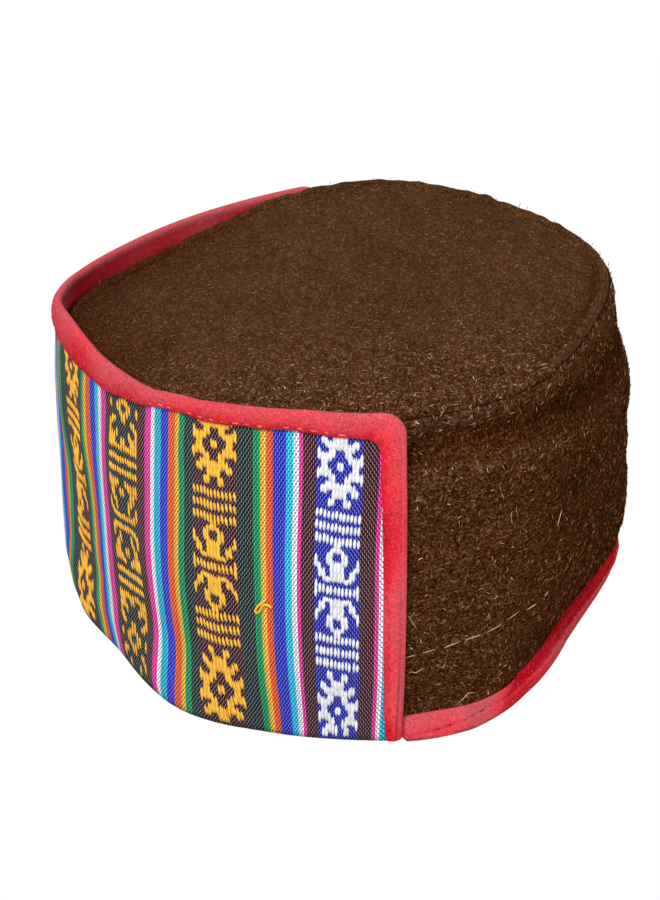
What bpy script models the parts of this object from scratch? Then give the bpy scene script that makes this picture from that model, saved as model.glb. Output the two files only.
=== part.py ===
"""Himachali topi: a round, flat-topped woollen cap with a striped woven band round its front.

Units are metres and +Z is up. The cap stands on its hem with the middle of the band facing -Y.
A bearing is an angle round the cap from the middle of the band, and +90 degrees is the +X side.
"""

import bisect
import math

import bmesh
import bpy
import numpy as np
from mathutils import Vector

MM = 0.001

# Heights above the table
BAND_TOP = 103.5 * MM  # top of the red fold along the band
RIM_BELOW_BAND = 1.4 * MM  # crown seam, where the band ends, below that fold
HEM_HEIGHT = 8.0 * MM
FOOT_DRAW = 1.2 * MM  # the wool inside the hem is drawn in, so that the tape lies flush
FOOT_EASE = 10.0 * MM  # height over which it comes out again
FLARE_HEIGHT = 18.0 * MM  # height at which the flare of the foot starts
FOOT_CLEAR = 0.7 * MM  # under the wool's foot, which the flare tilts
BAND_BOTTOM = 0.4 * MM  # the band hangs just clear of the table

# Cloth thicknesses
WOOL = 2.2 * MM
BAND_CLOTH = 1.6 * MM
TAPE = 0.9 * MM
GAP = 0.3 * MM  # between two pieces that are sewn together

# The band and its red binding
BAND_NEAR_END = 93.0  # bearing of the band's end at the +X side, at the top
BAND_NEAR_SLANT = 2.5  # degrees by which that end moves forward at the bottom
BAND_FAR_END = -94.0
TOP_BINDING = 6.4 * MM  # width of the red tape on the face of the band, along its top
END_BINDING = 5.2 * MM  # and down its ends
CORNER_RADIUS = 5.0 * MM
BAND_STANDOFF = 2 * GAP + TAPE  # room for a layer of tape behind the band
BAND_DEPTH = BAND_TOP - GAP - TAPE - BAND_BOTTOM  # the cloth's own height

# The crown seam: a raised ridge round the disc, with a groove inside it
DISC_RISE = 1.2 * MM  # middle of the disc above the back of the rim
SEAM_DEPTH = 2.9 * MM  # top edge of the side below the crest of the ridge

COLUMNS = 72  # facets round the cap
FIRST_COLUMN = 2.0  # its bearing, so that a column stands just past the band's near end
SIDE_ROWS = (0.0, 3.5, 8.0, 13.0, 21.0)  # mm under the side's top edge, where its section bends
SIDE_SHARES = (0.6, 0.35)  # of the seam's height, for the rows below those
SEAT_INSETS = (0.5, 4.6)  # mm in from the rim: the flat seat under the disc, over the side's edge
UNDER_INSETS = (9.0, 20.0)  # mm in from the rim: rows of the disc's underside
UNDER_RING = 0.6  # and one more, at this share of the radius
BAND_STEP = 5.0  # degrees between the columns of the band
BAND_ROWS = 7  # facets up the band
CORNER_TURNS = (0.0, 22.5, 45.0, 67.5, 90.0)  # columns round the band's corner
MITRE_LEAD = 1.0 * MM  # spread of the tape's inner edge at that corner
FOLD_PLAY = 0.15 * MM  # between the band's edge and the inside of the tape's fold
HEM_CHAMFER = (0.7 * MM, 1.1 * MM)  # across and up, at the two lower corners of the hem

# The outer face of the binding's fold: distance beyond the band's edge, and share of half the
# tape's outer thickness there
FOLD_COLUMNS = ("beyond", "share")
FOLD_SECTION = (
    (-0.6, 1.0),
    (0.7, 0.72),
    (1.2, 0.0),
    (0.7, -0.72),
    (-0.6, -1.0),
)

# The cap's outline from above, one row for every 30 degrees.
# rim and base: radius of the wool at the height of BAND_TOP and at the table
# bulge: how far the wall swells between them
# lift: how far the top of the cap lies above BAND_TOP
# sunk: how far the crown seam lies below the band there, more than at its ends
OUTLINE_COLUMNS = ("bearing", "rim", "base", "bulge", "lift", "sunk")
OUTLINE = (
    (0, 83.7, 89.0, 0.5, 0.0, 6.0),
    (30, 77.7, 82.5, 3.0, -1.8, 3.2),
    (60, 79.2, 88.1, 3.5, -0.9, 2.3),
    (90, 83.8, 92.2, 2.5, 0.0, 0.5),
    (120, 84.5, 90.0, 3.5, 0.0, 0.0),
    (150, 81.0, 85.0, 5.5, 0.0, 0.0),
    (180, 87.5, 95.5, 4.5, 1.0, 0.0),
    (210, 91.0, 98.0, 3.0, 2.7, 0.0),
    (240, 96.0, 101.0, 2.0, 3.7, 0.0),
    (270, 93.5, 97.0, 2.0, 0.8, -1.5),
    (300, 85.5, 91.0, 2.0, -1.0, 4.5),
    (330, 84.0, 90.5, 1.0, -1.0, 5.5),
)

# Where the band leaves it bare, the foot of the wool stands out or is drawn in, by bearing
FOOT_COLUMNS = ("bearing", "flare")
FOOT = (
    (92, 0.0),
    (102, 3.6),
    (107, 3.8),
    (112, 2.9),
    (122, 0.7),
    (138, -0.9),
    (154, -1.7),
    (175, -1.0),
    (200, 0.0),
)

# The side's section below the crown seam: depth under the seam, and how far the wool is drawn in
SIDE_COLUMNS = ("depth", "drawn_in")
SIDE_SECTION = (
    (0.0, 1.2),
    (4.0, 1.5),
    (8.0, 1.2),
    (13.0, 0.2),
    (18.0, 0.0),
    (28.0, 0.6),
    (60.0, 0.4),
    (200.0, 0.4),
)

# The disc's section inward from the rim: distance in from it, and height against the ridge
DISC_COLUMNS = ("inward", "height")
DISC_SECTION = (
    (0.0, -1.7),
    (0.4, -0.6),
    (1.5, 0.0),
    (2.8, -0.5),
    (4.4, -1.6),
    (9.0, -1.1),
    (20.0, 0.3),
)
DISC_RINGS = (0.62, 0.45, 0.3, 0.15)  # shares of the radius, inside the last row above

WOOL_COLOUR = (0.050, 0.027, 0.014, 1.0)
BAND_COLOUR = (0.10, 0.03, 0.06, 1.0)
RED_COLOUR = (0.72, 0.035, 0.05, 1.0)


def column(names, rows, name):
    """One column of a table, as a list of numbers."""
    place = names.index(name)
    return [row[place] for row in rows]


def around(name, bearing):
    """A column of OUTLINE at any bearing, in metres, by a smooth closed curve through its rows."""
    values = np.array(column(OUTLINE_COLUMNS, OUTLINE, name))
    waves = np.fft.rfft(values) / len(values)
    orders = np.arange(len(waves))
    weights = np.where((orders == 0) | (orders == len(values) // 2), 1.0, 2.0)
    turns = np.exp(1j * orders * math.radians(bearing))
    return float((weights * waves * turns).real.sum()) * MM


def along(names, rows, x_name, y_name, at):
    """A column of a table against another one, eased between its rows, from millimetres to metres."""
    xs = column(names, rows, x_name)
    ys = column(names, rows, y_name)
    right = min(max(bisect.bisect_right(xs, at), 1), len(xs) - 1)
    share = min(max((at - xs[right - 1]) / (xs[right] - xs[right - 1]), 0.0), 1.0)
    eased = share * share * (3 - 2 * share)
    return (ys[right - 1] + (ys[right] - ys[right - 1]) * eased) * MM


def top_height(bearing):
    """Height of the fold along the band's top, and of the same line round the back."""
    return BAND_TOP + around("lift", bearing)


def rim_height(bearing):
    """Height of the crest of the crown seam."""
    return top_height(bearing) - RIM_BELOW_BAND - around("sunk", bearing)


def wall_radius(bearing, height):
    """Radius of the plain wall, without the draw of the seam."""
    share = height / BAND_TOP
    rim, base = around("rim", bearing), around("base", bearing)
    return base + (rim - base) * share + around("bulge", bearing) * 4 * share * (1 - share)


def wool_radius(bearing, height):
    """Radius of the outer face of the side: drawn in under the seam and in the hem, flared at the foot."""
    depth = max(rim_height(bearing) - height, 0.0)
    seam = along(SIDE_COLUMNS, SIDE_SECTION, "depth", "drawn_in", depth / MM)
    foot = FOOT_DRAW * min(max(1 - (height - HEM_HEIGHT) / FOOT_EASE, 0.0), 1.0)
    flare = along(FOOT_COLUMNS, FOOT, "bearing", "flare", bearing % 360)
    flare *= max(1 - height / FLARE_HEIGHT, 0.0)
    return wall_radius(bearing, height) - seam - foot + flare


def slant(bearing, height):
    """How much longer a level step outwards through the wool is than one square to its facets."""
    turn, rise = 360 / COLUMNS, HEM_HEIGHT
    run = 2 * math.radians(turn) * wool_radius(bearing, height)
    beside = (wool_radius(bearing + turn, height) - wool_radius(bearing - turn, height)) / run
    above = (wool_radius(bearing, height + rise) - wool_radius(bearing, height)) / rise
    return math.sqrt(1 + beside**2 + above**2)


def place(bearing, radius, height):
    """A point from its bearing, its distance from the cap's axis and its height."""
    turn = math.radians(bearing)
    return Vector((radius * math.sin(turn), -radius * math.cos(turn), height))


def outward(bearing, height):
    """The direction that the wall faces."""
    step = 0.5  # degrees to either side
    beside = place(bearing + step, wall_radius(bearing + step, height), height)
    before = place(bearing - step, wall_radius(bearing - step, height), height)
    return (beside - before).normalized().cross(Vector((0, 0, 1)))


def material(name, colour, roughness):
    """A cloth, as a Principled surface with no metal in it."""
    cloth = bpy.data.materials.new(name)
    cloth.use_nodes = True
    shader = cloth.node_tree.nodes["Principled BSDF"]
    shader.inputs["Base Color"].default_value = colour
    shader.inputs["Roughness"].default_value = roughness
    shader.inputs["Metallic"].default_value = 0.0
    cloth.diffuse_color = colour
    return cloth


def grid_mesh(name, rows, closed_across, closed_along):
    """Quads between neighbouring rows of points, each row as long as the next."""
    mesh = bmesh.new()
    verts = [[mesh.verts.new(point) for point in row] for row in rows]
    across = len(rows[0]) if closed_across else len(rows[0]) - 1
    lengthwise = len(rows) if closed_along else len(rows) - 1
    for i in range(lengthwise):
        here, ahead = verts[i], verts[(i + 1) % len(rows)]
        for j in range(across):
            k = (j + 1) % len(rows[0])
            mesh.faces.new((here[j], here[k], ahead[k], ahead[j]))
    if closed_across and not closed_along:
        mesh.faces.new(verts[0])
        mesh.faces.new(verts[-1])
    bmesh.ops.remove_doubles(mesh, verts=mesh.verts, dist=1e-7)
    bmesh.ops.recalc_face_normals(mesh, faces=mesh.faces)
    data = bpy.data.meshes.new(name)
    mesh.to_mesh(data)
    mesh.free()
    return data


def add_piece(name, data, cloth, collection):
    """An object of the cap, shaded smooth except over its sharp edges."""
    piece = bpy.data.objects.new(name, data)
    piece.data.materials.append(cloth)
    piece.data.shade_smooth()
    piece.data.set_sharp_from_angle(angle=math.radians(50))
    collection.objects.link(piece)
    return piece


def thicken(piece, thickness):
    """Gives an open sheet its cloth, inwards from the modelled face."""
    wall = piece.modifiers.new("Cloth", "SOLIDIFY")
    wall.thickness = thickness
    wall.offset = -1.0
    wall.use_even_offset = True


def bearings_round():
    return [FIRST_COLUMN + i * 360 / COLUMNS for i in range(COLUMNS)]


def crown_side(cloth, collection):
    """The wall, from inside the hem's fold up to the crown seam."""
    foot = TAPE + FOOT_CLEAR
    depths = [SEAM_DEPTH + d * MM for d in SIDE_ROWS]
    rows = []
    for bearing in bearings_round():
        rim = rim_height(bearing)
        heights = [rim - depth for depth in depths]
        heights += [share * rim for share in SIDE_SHARES]
        heights += [HEM_HEIGHT + FOOT_EASE, HEM_HEIGHT, foot]
        rows.append([place(bearing, wool_radius(bearing, z), z) for z in heights])
    data = grid_mesh("crown_side", rows, closed_across=False, closed_along=True)
    first = data.polygons[0]
    if first.normal.dot(first.center) < 0:
        data.flip_normals()
    thicken(add_piece("crown_side", data, cloth, collection), WOOL)


def disc_height(bearing, inward):
    """Height of the disc's upper face at a distance in from its rim."""
    radius = wall_radius(bearing, rim_height(bearing))
    middle = BAND_TOP - RIM_BELOW_BAND + DISC_RISE  # the whole disc tends to this height inwards
    share = min(max(inward / radius, 0.0), 1.0)
    eased = share * share * (3 - 2 * share)
    edge = rim_height(bearing) + along(DISC_COLUMNS, DISC_SECTION, "inward", "height", inward / MM)
    return edge + (middle - edge) * eased


def crown_top(cloth, collection):
    """The disc that closes the cap, with the ridge of the seam round it."""
    rows = []
    for bearing in bearings_round():
        radius = wall_radius(bearing, rim_height(bearing))
        insets = [radius * (1 - share) for share in (0.0, *reversed(DISC_RINGS))]
        insets += [x * MM for x in reversed(column(DISC_COLUMNS, DISC_SECTION, "inward"))]
        upper = [place(bearing, radius - x, disc_height(bearing, x)) for x in insets]
        seat = rim_height(bearing) - SEAM_DEPTH + GAP
        under = [place(bearing, radius - x * MM, seat) for x in SEAT_INSETS]
        for inset in (*[x * MM for x in UNDER_INSETS], radius * UNDER_RING):
            under.append(place(bearing, radius - inset, disc_height(bearing, inset) - WOOL))
        under.append(place(bearing, 0.0, disc_height(bearing, radius) - WOOL))
        rows.append(upper + under)
    data = grid_mesh("crown_top", rows, closed_across=False, closed_along=True)
    add_piece("crown_top", data, cloth, collection)


def hem_section(bearing):
    """The hem's tape folded round the foot of the wall, with a flat underside."""
    half = WOOL / 2 + GAP + TAPE
    inner = WOOL / 2 + GAP
    middle = -WOOL / 2
    cut, rise = HEM_CHAMFER
    outline = (
        (half, HEM_HEIGHT), (half, rise), (half - cut, 0.0),
        (cut - half, 0.0), (-half, rise), (-half, HEM_HEIGHT),
        (-inner, HEM_HEIGHT), (-inner, TAPE), (inner, TAPE), (inner, HEM_HEIGHT),
    )
    return [
        place(bearing, wool_radius(bearing, z) + (middle + across) * slant(bearing, 0.0), z)
        for across, z in outline
    ]


def hem_binding(cloth, collection):
    """Red tape round the whole foot of the cap; it is what the cap stands on."""
    rows = [hem_section(bearing) for bearing in bearings_round()]
    data = grid_mesh("hem_binding", rows, closed_across=True, closed_along=True)
    add_piece("hem_binding", data, cloth, collection)


def band_width():
    """Length of the band's top edge."""
    return math.radians(BAND_NEAR_END - BAND_FAR_END) * wall_radius(90, BAND_TOP)


def band_point(end, inset, depth, off):
    """A point on the band, an inset from one end and a depth below its top edge.

    end is 0 for the far end and 1 for the near one; off is the distance from the plain wall.
    Depths stretch a little where the top is high, so that the foot stays level.
    """
    far, near = BAND_FAR_END, BAND_NEAR_END - BAND_NEAR_SLANT * depth / BAND_DEPTH
    share = inset / band_width()
    bearing = far + (near - far) * (1 - share if end else share)
    top = top_height(bearing) - GAP - TAPE
    height = top - (top - BAND_BOTTOM) * depth / BAND_DEPTH
    return place(bearing, wall_radius(bearing, height), height) + outward(bearing, height) * off


def corner_depth(inset):
    """Depth of the cloth's edge below the band's top, which rounds off its corners."""
    left = max(CORNER_RADIUS - inset, 0.0)
    return CORNER_RADIUS - math.sqrt(CORNER_RADIUS**2 - left**2)


def corner_insets():
    return [CORNER_RADIUS * (1 - math.cos(math.radians(a))) for a in CORNER_TURNS]


def top_insets():
    """Insets from an end to the middle of the band, past its rounded corner."""
    half = band_width() / 2
    count = round((BAND_NEAR_END - BAND_FAR_END) / BAND_STEP / 2)
    return [CORNER_RADIUS + (half - CORNER_RADIUS) * i / count for i in range(1, count + 1)]


def band_section(end, inset):
    """The cloth cut across at an inset from one end: up its outer face and down its inner one."""
    first = corner_depth(inset)
    depths = [BAND_DEPTH + (first - BAND_DEPTH) * i / BAND_ROWS for i in range(BAND_ROWS + 1)]
    outer = [band_point(end, inset, depth, BAND_STANDOFF + BAND_CLOTH) for depth in depths]
    inner = [band_point(end, inset, depth, BAND_STANDOFF) for depth in reversed(depths)]
    return outer + inner


def front_band(cloth, collection):
    """The striped cloth, from one rounded end round the front to the other."""
    insets = corner_insets() + top_insets()
    halves = [[band_section(end, inset) for inset in insets] for end in (0, 1)]
    rows = halves[0] + halves[1][-2::-1]
    data = grid_mesh("front_band", rows, closed_across=True, closed_along=False)
    add_piece("front_band", data, cloth, collection)


def binding_stations():
    """The band's edge from the foot of an end to the middle of the top.

    Each station is (inset, depth) of the cloth's edge, the same of the tape's inner edge, and the
    direction out of the cloth. The tape's inner edge turns a square corner, the outer one a round one.
    """
    stations = []
    for i in range(BAND_ROWS):
        depth = BAND_DEPTH + (CORNER_RADIUS - BAND_DEPTH) * i / BAND_ROWS
        stations.append(((0.0, depth), (END_BINDING, depth), (-1.0, 0.0)))
    for turn in CORNER_TURNS:
        out = (-math.cos(math.radians(turn)), -math.sin(math.radians(turn)))
        edge = (CORNER_RADIUS * (1 + out[0]), CORNER_RADIUS * (1 + out[1]))
        lead = MITRE_LEAD * (45 - turn) / 45
        inner = (END_BINDING + max(-lead, 0.0), TOP_BINDING + max(lead, 0.0))
        stations.append((edge, inner, out))
    for inset in top_insets():
        stations.append(((inset, 0.0), (inset, TOP_BINDING), (0.0, -1.0)))
    return stations


def binding_section(end, edge, inner, out):
    """The tape folded over the band's edge, as a closed loop of points."""
    middle = BAND_STANDOFF + BAND_CLOTH / 2
    half = BAND_CLOTH / 2 + GAP + TAPE
    bore = BAND_CLOTH / 2 + GAP

    def at(beyond, off):
        return band_point(end, edge[0] + out[0] * beyond, edge[1] + out[1] * beyond, middle + off)

    def hem(off):
        return band_point(end, *inner, middle + off)

    beyonds, shares = (column(FOLD_COLUMNS, FOLD_SECTION, name) for name in FOLD_COLUMNS)
    outer = [at(beyond * MM, half * share) for beyond, share in zip(beyonds, shares)]
    inside = [hem(-bore), at(FOLD_PLAY, -bore), at(FOLD_PLAY, bore), hem(bore)]
    return [hem(half), *outer, hem(-half), *inside]


def band_binding(cloth, collection):
    """Red tape folded over the band's top edge and its two ends."""
    halves = [[binding_section(end, *station) for station in binding_stations()] for end in (0, 1)]
    rows = halves[0] + halves[1][-2::-1]
    data = grid_mesh("band_binding", rows, closed_across=True, closed_along=False)
    add_piece("band_binding", data, cloth, collection)


def centre(collection):
    """Moves the cap's mesh so that its box stands centred over the origin."""
    bpy.context.view_layer.update()
    graph = bpy.context.evaluated_depsgraph_get()
    points = [
        np.array(vertex.co)
        for piece in collection.objects
        for vertex in piece.evaluated_get(graph).data.vertices
    ]
    low, high = np.min(points, axis=0), np.max(points, axis=0)
    middle = Vector((*(low[:2] + high[:2]) / 2, low[2]))
    for piece in collection.objects:
        for vertex in piece.data.vertices:
            vertex.co -= middle


def main():
    for thing in list(bpy.data.objects):
        bpy.data.objects.remove(thing)
    collection = bpy.data.collections.new("himachali_topi")
    bpy.context.scene.collection.children.link(collection)
    wool = material("brown wool", WOOL_COLOUR, 0.95)
    stripes = material("striped band cloth", BAND_COLOUR, 0.85)
    red = material("red binding tape", RED_COLOUR, 0.75)
    crown_side(wool, collection)
    crown_top(wool, collection)
    hem_binding(red, collection)
    front_band(stripes, collection)
    band_binding(red, collection)
    centre(collection)


main()
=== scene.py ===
# Himachali topi: brown woollen cap, striped woven band round its front, red tape on its edges.
# Metres throughout. A bearing is an angle in degrees round the cap from the middle of the band,
# and 90 is the side with the band's near end.

import bmesh
import bpy
import numpy as np
from mathutils import Matrix, Vector


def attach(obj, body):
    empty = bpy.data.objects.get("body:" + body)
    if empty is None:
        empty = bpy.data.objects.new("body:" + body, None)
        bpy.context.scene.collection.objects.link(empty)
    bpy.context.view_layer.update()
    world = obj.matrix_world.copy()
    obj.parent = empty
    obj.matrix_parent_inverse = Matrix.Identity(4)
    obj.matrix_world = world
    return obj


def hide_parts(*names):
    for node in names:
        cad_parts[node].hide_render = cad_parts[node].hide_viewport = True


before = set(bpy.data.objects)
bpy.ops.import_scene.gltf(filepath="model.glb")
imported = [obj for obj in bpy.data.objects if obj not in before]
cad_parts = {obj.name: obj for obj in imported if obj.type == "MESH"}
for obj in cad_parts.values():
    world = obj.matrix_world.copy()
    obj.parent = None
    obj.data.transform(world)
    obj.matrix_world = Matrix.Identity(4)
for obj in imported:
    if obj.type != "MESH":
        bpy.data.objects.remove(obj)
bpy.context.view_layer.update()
mm = 0.001

# The cap's form, as the solids have it
capShape = {
    "axis": (3.034 * mm, -2.085 * mm),  # where the cap's own axis stands
    "bandTop": 103.5 * mm,
    "rimBelowBand": 1.4 * mm,
    "hemHeight": 8.0 * mm,
    "footDraw": 1.2 * mm,
    "footEase": 10.0 * mm,
    "bandBottom": 0.4 * mm,
    "wool": 2.2 * mm,
    "bandCloth": 1.6 * mm,
    "tape": 0.9 * mm,
    "gap": 0.3 * mm,
    "nearEnd": 93.0,  # bearings of the band's ends
    "nearSlant": 2.5,
    "farEnd": -94.0,
    "topTape": 6.4 * mm,
    "endTape": 5.2 * mm,
    "cornerRadius": 5.0 * mm,
    "discRise": 1.2 * mm,
    "seamDepth": 2.9 * mm,
}
bandStandoff = 2 * capShape["gap"] + capShape["tape"]
bandDepth = capShape["bandTop"] - capShape["gap"] - capShape["tape"] - capShape["bandBottom"]

# Outline from above, a value for every 30 degrees, in millimetres
outline = {
    "rim": (83.7, 77.7, 79.2, 83.8, 84.5, 81.0, 87.5, 91.0, 96.0, 93.5, 85.5, 84.0),
    "base": (89.0, 82.5, 88.1, 92.2, 90.0, 85.0, 95.5, 98.0, 101.0, 97.0, 91.0, 90.5),
    "bulge": (0.5, 3.0, 3.5, 2.5, 3.5, 5.5, 4.5, 3.0, 2.0, 2.0, 2.0, 1.0),
    "lift": (0.0, -1.8, -0.9, 0.0, 0.0, 0.0, 1.0, 2.7, 4.5, 0.8, -1.0, -1.0),
    "sunk": (6.0, 3.2, 2.3, 0.5, 0.0, 0.0, 0.0, 0.0, 0.0, -1.5, 4.5, 5.5),
}
# The foot of the bare wool in millimetres by bearing: how far it stands out at the table, and how
# far it is tucked in at a height above that
footShape = {
    "bearing": (90.9, 91.7, 97, 104, 112, 118, 126, 138, 152, 166, 180, 200, 262),
    "flare": (0.0, 4.5, 4.9, 5.0, 3.0, 1.3, 0.3, -0.8, -0.5, -0.3, 0.4, 0.0, 0.0),
    "tuck": (0.0, 0.4, 0.6, -0.6, -0.9, 1.2, 3.0, 4.2, 2.4, 0.0, 0.0, 0.0, 0.0),
    "tuckHeight": 10.0,
    "tuckFade": 16.0,
}
# How much of the draw under the crown seam shows, by bearing: deep at the side, shallow behind
drawShape = {
    "bearing": (0, 90, 122, 140, 160, 200, 230, 300, 360),
    "share": (1.0, 1.1, 1.1, 0.8, 0.2, 0.2, 0.4, 1.0, 1.0),
}
# The seam lies this far in from the bare wall, whose top rounds over to it, by bearing
seamShape = {"bearing": (0, 125, 145, 168, 190, 360), "inset": (0, 0, 1.1, 1.1, 0, 0), "round": 4.8}
# The front swells a little, by height in millimetres, and its foot is uneven, by bearing
frontSwell = {
    "height": (0, 4, 13, 22, 60, 98, 104),
    "swell": (-0.8, 0.5, 1.9, 1.7, 1.4, 0.9, 0.6),
    "span": (-45, 38, 30, 28),  # bearings of its ends, and degrees over which it sets in and fades
}
frontFoot = {
    "bearing": (-60, -10, 8, 16, 24, 32, 40, 48, 56, 65, 77, 86, 91),
    "shift": (0.0, -0.4, 0.2, -0.2, 0.0, 1.9, 3.4, 4.2, 2.3, -0.8, -1.8, -1.2, 0.0),
    "height": 26.0,
}
# The cloth turns away sharply at the end of the front and lies flatter beyond that, by bearing,
# most of all at middle height
frontFlat = {
    "bearing": (-60, -46, -29, -19, -12, -6.7, -3.6, -0.5, 2.2, 5.4, 10.4, 15, 22.8, 30.3, 40),
    "inward": (0, 0, 0, 0, 0.1, 0.4, 0.9, 1.8, 2.9, 3.6, 3.5, 2.9, 1.5, 0, 0),
    "outward": (0, 0.5, 1.4, 2.0, 1.8, 0.9, 0.4, 0.1, 0, 0, 0, 0, 0, 0, 0),
    "height": (0, 10, 25, 50, 70, 104),
    "share": (-0.15, 0.35, 0.95, 1.0, 0.7, 0.6),
    "outHeight": (0, 80, 95, 104),
    "outShare": (1.0, 0.9, 0.1, -0.5),
}
# Small dents in the band's top, in millimetres by inset from the near end
topDents = {
    "inset": (0, 11, 25, 33, 47, 57, 62, 68, 74.5, 81, 88.6, 96.5, 104, 109, 115, 122, 132, 142, 155, 172),
    "dent": (
        0.4, 0.2, -0.5, -0.25, -0.1, 0.4, 0.2, 0.5, 1.1, 0.8, 0.0, -0.5, -1.0, -1.6, -2.2, -2.6, -2.6,
        -2.0, -0.9, 0,
    ),
}
sideSection = {  # millimetres under the crown seam, and how far the wool is drawn in there
    "depth": (0.0, 4.5, 11.5, 20.5, 32.0, 60.0, 200.0),
    "drawnIn": (0.1, 0.0, 2.7, -0.2, 0.7, 0.4, 0.4),
    "spread": 0.45,  # how much further down all this lies towards the back
    "back": (112, 280, 40),
}
discSection = {  # millimetres in from the rim, and height against the ridge of the seam
    "inward": (0.0, 0.4, 1.4, 2.4, 4.4, 8.5, 14.0, 21.0),
    "height": (-1.7, -0.6, 0.1, -0.3, -2.0, -1.5, -0.5, 0.3),
}


def smooth(share):
    # eases 0 to 1, flat at both ends
    share = np.clip(share, 0.0, 1.0)
    return share * share * (3 - 2 * share)


def between(value, start, end, ease, easeOut=None):
    # 0 outside two values, easing to 1 between them
    return smooth((value - start) / ease) * smooth((end - value) / (easeOut or ease))


def bell(value, middle, reach):
    # 1 at the middle, dying out over the reach on both sides
    return np.exp(-(((value - middle) / reach) ** 2))


def unit(vectors):
    return vectors / np.linalg.norm(vectors, axis=-1, keepdims=True)


def lengthRun(points):
    # length run along a line of points
    return np.concatenate([[0.0], np.cumsum(np.linalg.norm(np.diff(points, axis=0), axis=1))])


def fromFront(bearing):
    # a bearing as -180 to 180, 0 in the middle of the band
    return np.mod(np.asarray(bearing, float) + 180, 360) - 180


def around(name, bearing):
    # a column of the outline at any bearing: the sum of its waves round the circle
    values = np.array(outline[name])
    waves = np.fft.rfft(values) / len(values)
    orders = np.arange(len(waves))
    weights = np.where((orders == 0) | (orders == len(values) // 2), 1.0, 2.0)
    turns = np.exp(1j * orders * np.radians(np.asarray(bearing, float))[..., None])
    return (weights * waves * turns).real.sum(-1) * mm


def along(section, xName, yName, x):
    # a section's value at x, eased between its rows
    xs, ys = np.array(section[xName]), np.array(section[yName])
    at = np.asarray(x) / mm
    right = np.clip(np.searchsorted(xs, at, side="right"), 1, len(xs) - 1)
    share = smooth((at - xs[right - 1]) / (xs[right] - xs[right - 1]))
    return (ys[right - 1] + (ys[right] - ys[right - 1]) * share) * mm


def blurred(table, name, bearing, spread, inner=0.33):
    # a table's value at a bearing, with its corners rubbed off
    spots = [bearing + spread * turn for turn in (-1.0, -inner, inner, 1.0)]
    return np.mean([np.interp(spot, table["bearing"], table[name]) for spot in spots], axis=0)


def topHeight(bearing):
    return capShape["bandTop"] + around("lift", bearing)


def rimHeight(bearing):
    return topHeight(bearing) - capShape["rimBelowBand"] - around("sunk", bearing)


def wallRadius(bearing, height):
    # straight slant from base to rim, plus a parabola for the swell, and the form of the front
    share = height / capShape["bandTop"]
    rim, base = around("rim", bearing), around("base", bearing)
    plain = base + (rim - base) * share + around("bulge", bearing) * 4 * share * (1 - share)
    front, level = fromFront(bearing), height / mm
    swell = np.interp(level, frontSwell["height"], frontSwell["swell"]) * between(front, *frontSwell["span"])
    foot, inward, out = (
        blurred(table, name, front, 3.0, 1 / 3)
        for table, name in ((frontFoot, "shift"), (frontFlat, "inward"), (frontFlat, "outward"))
    )
    foot = foot * smooth(1 - height / (frontFoot["height"] * mm))
    inward = inward * np.interp(level, frontFlat["height"], frontFlat["share"])
    out = out * np.interp(level, frontFlat["outHeight"], frontFlat["outShare"])
    return plain + (swell + foot + out - inward) * mm


def seamInset(bearing):
    return blurred(seamShape, "inset", np.mod(bearing, 360), 3.0) * mm


def foldDepth(bearing, height):
    # depth under the crown seam, in which the folds of the wall lie further down towards the back
    spread = 1 + sideSection["spread"] * between(np.mod(bearing, 360), *sideSection["back"])
    return (rimHeight(bearing) - height) / spread


def woolRadius(bearing, height):
    # the wall, drawn in under the seam and inside the hem, with its uneven foot
    turn = np.mod(bearing, 360)
    depth = np.maximum(rimHeight(bearing) - height, 0.0)
    draw = along(sideSection, "depth", "drawnIn", np.maximum(foldDepth(bearing, height), 0.0))
    draw = draw * blurred(drawShape, "share", turn, 4.0)
    seam = seamInset(bearing) * np.clip(1 - depth / (seamShape["round"] * mm), 0, 1) ** 1.4
    inHem = np.clip(1 - (height - capShape["hemHeight"]) / capShape["footEase"], 0.0, 1.0)
    tucked = footShape["tuckHeight"] * mm
    low = np.clip(height / tucked, 0.0, 1.0)
    flare = blurred(footShape, "flare", turn, 0.2) * (1 - low)
    fade = 1 - smooth((height - tucked) / (footShape["tuckFade"] * mm))
    tuck = blurred(footShape, "tuck", turn, 1.2) * low * fade
    return wallRadius(bearing, height) - draw - seam - capShape["footDraw"] * inHem + (flare - tuck) * mm


def place(bearing, radius, height):
    # a point from its bearing, distance from the cap's axis and height
    turn = np.radians(bearing)
    x = capShape["axis"][0] + radius * np.sin(turn)
    y = capShape["axis"][1] - radius * np.cos(turn)
    return np.stack(np.broadcast_arrays(x, y, height), -1)


def outward(bearing, height):
    # level direction that the wall faces: across the line between two points beside it
    behind, ahead = (
        place(bearing + step, wallRadius(bearing + step, height), height) for step in (-0.5, 0.5)
    )
    run = ahead - behind
    return unit(np.stack([run[..., 1], -run[..., 0], 0 * run[..., 0]], -1))


bandWidth = np.radians(capShape["nearEnd"] - capShape["farEnd"]) * float(
    wallRadius(90.0, capShape["bandTop"])
)


def bandPoint(end, inset, depth, off):
    # a point an inset from one end (1 is the near end), a depth below the top edge and a distance
    # off the plain wall
    inset, depth, off = np.broadcast_arrays(*(np.asarray(v, float) for v in (inset, depth, off)))
    near = capShape["nearEnd"] - capShape["nearSlant"] * depth / bandDepth
    share = inset / bandWidth
    share = 1 - share if end else share
    bearing = capShape["farEnd"] + (near - capShape["farEnd"]) * share
    top = topHeight(bearing) - capShape["gap"] - capShape["tape"]
    fromNear = inset if end else bandWidth - inset
    top = top - np.interp(fromNear / mm, topDents["inset"], topDents["dent"]) * mm
    height = top - (top - capShape["bandBottom"]) * depth / bandDepth
    wall = place(bearing, wallRadius(bearing, height), height)
    return wall + outward(bearing, height) * off[..., None]


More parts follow.
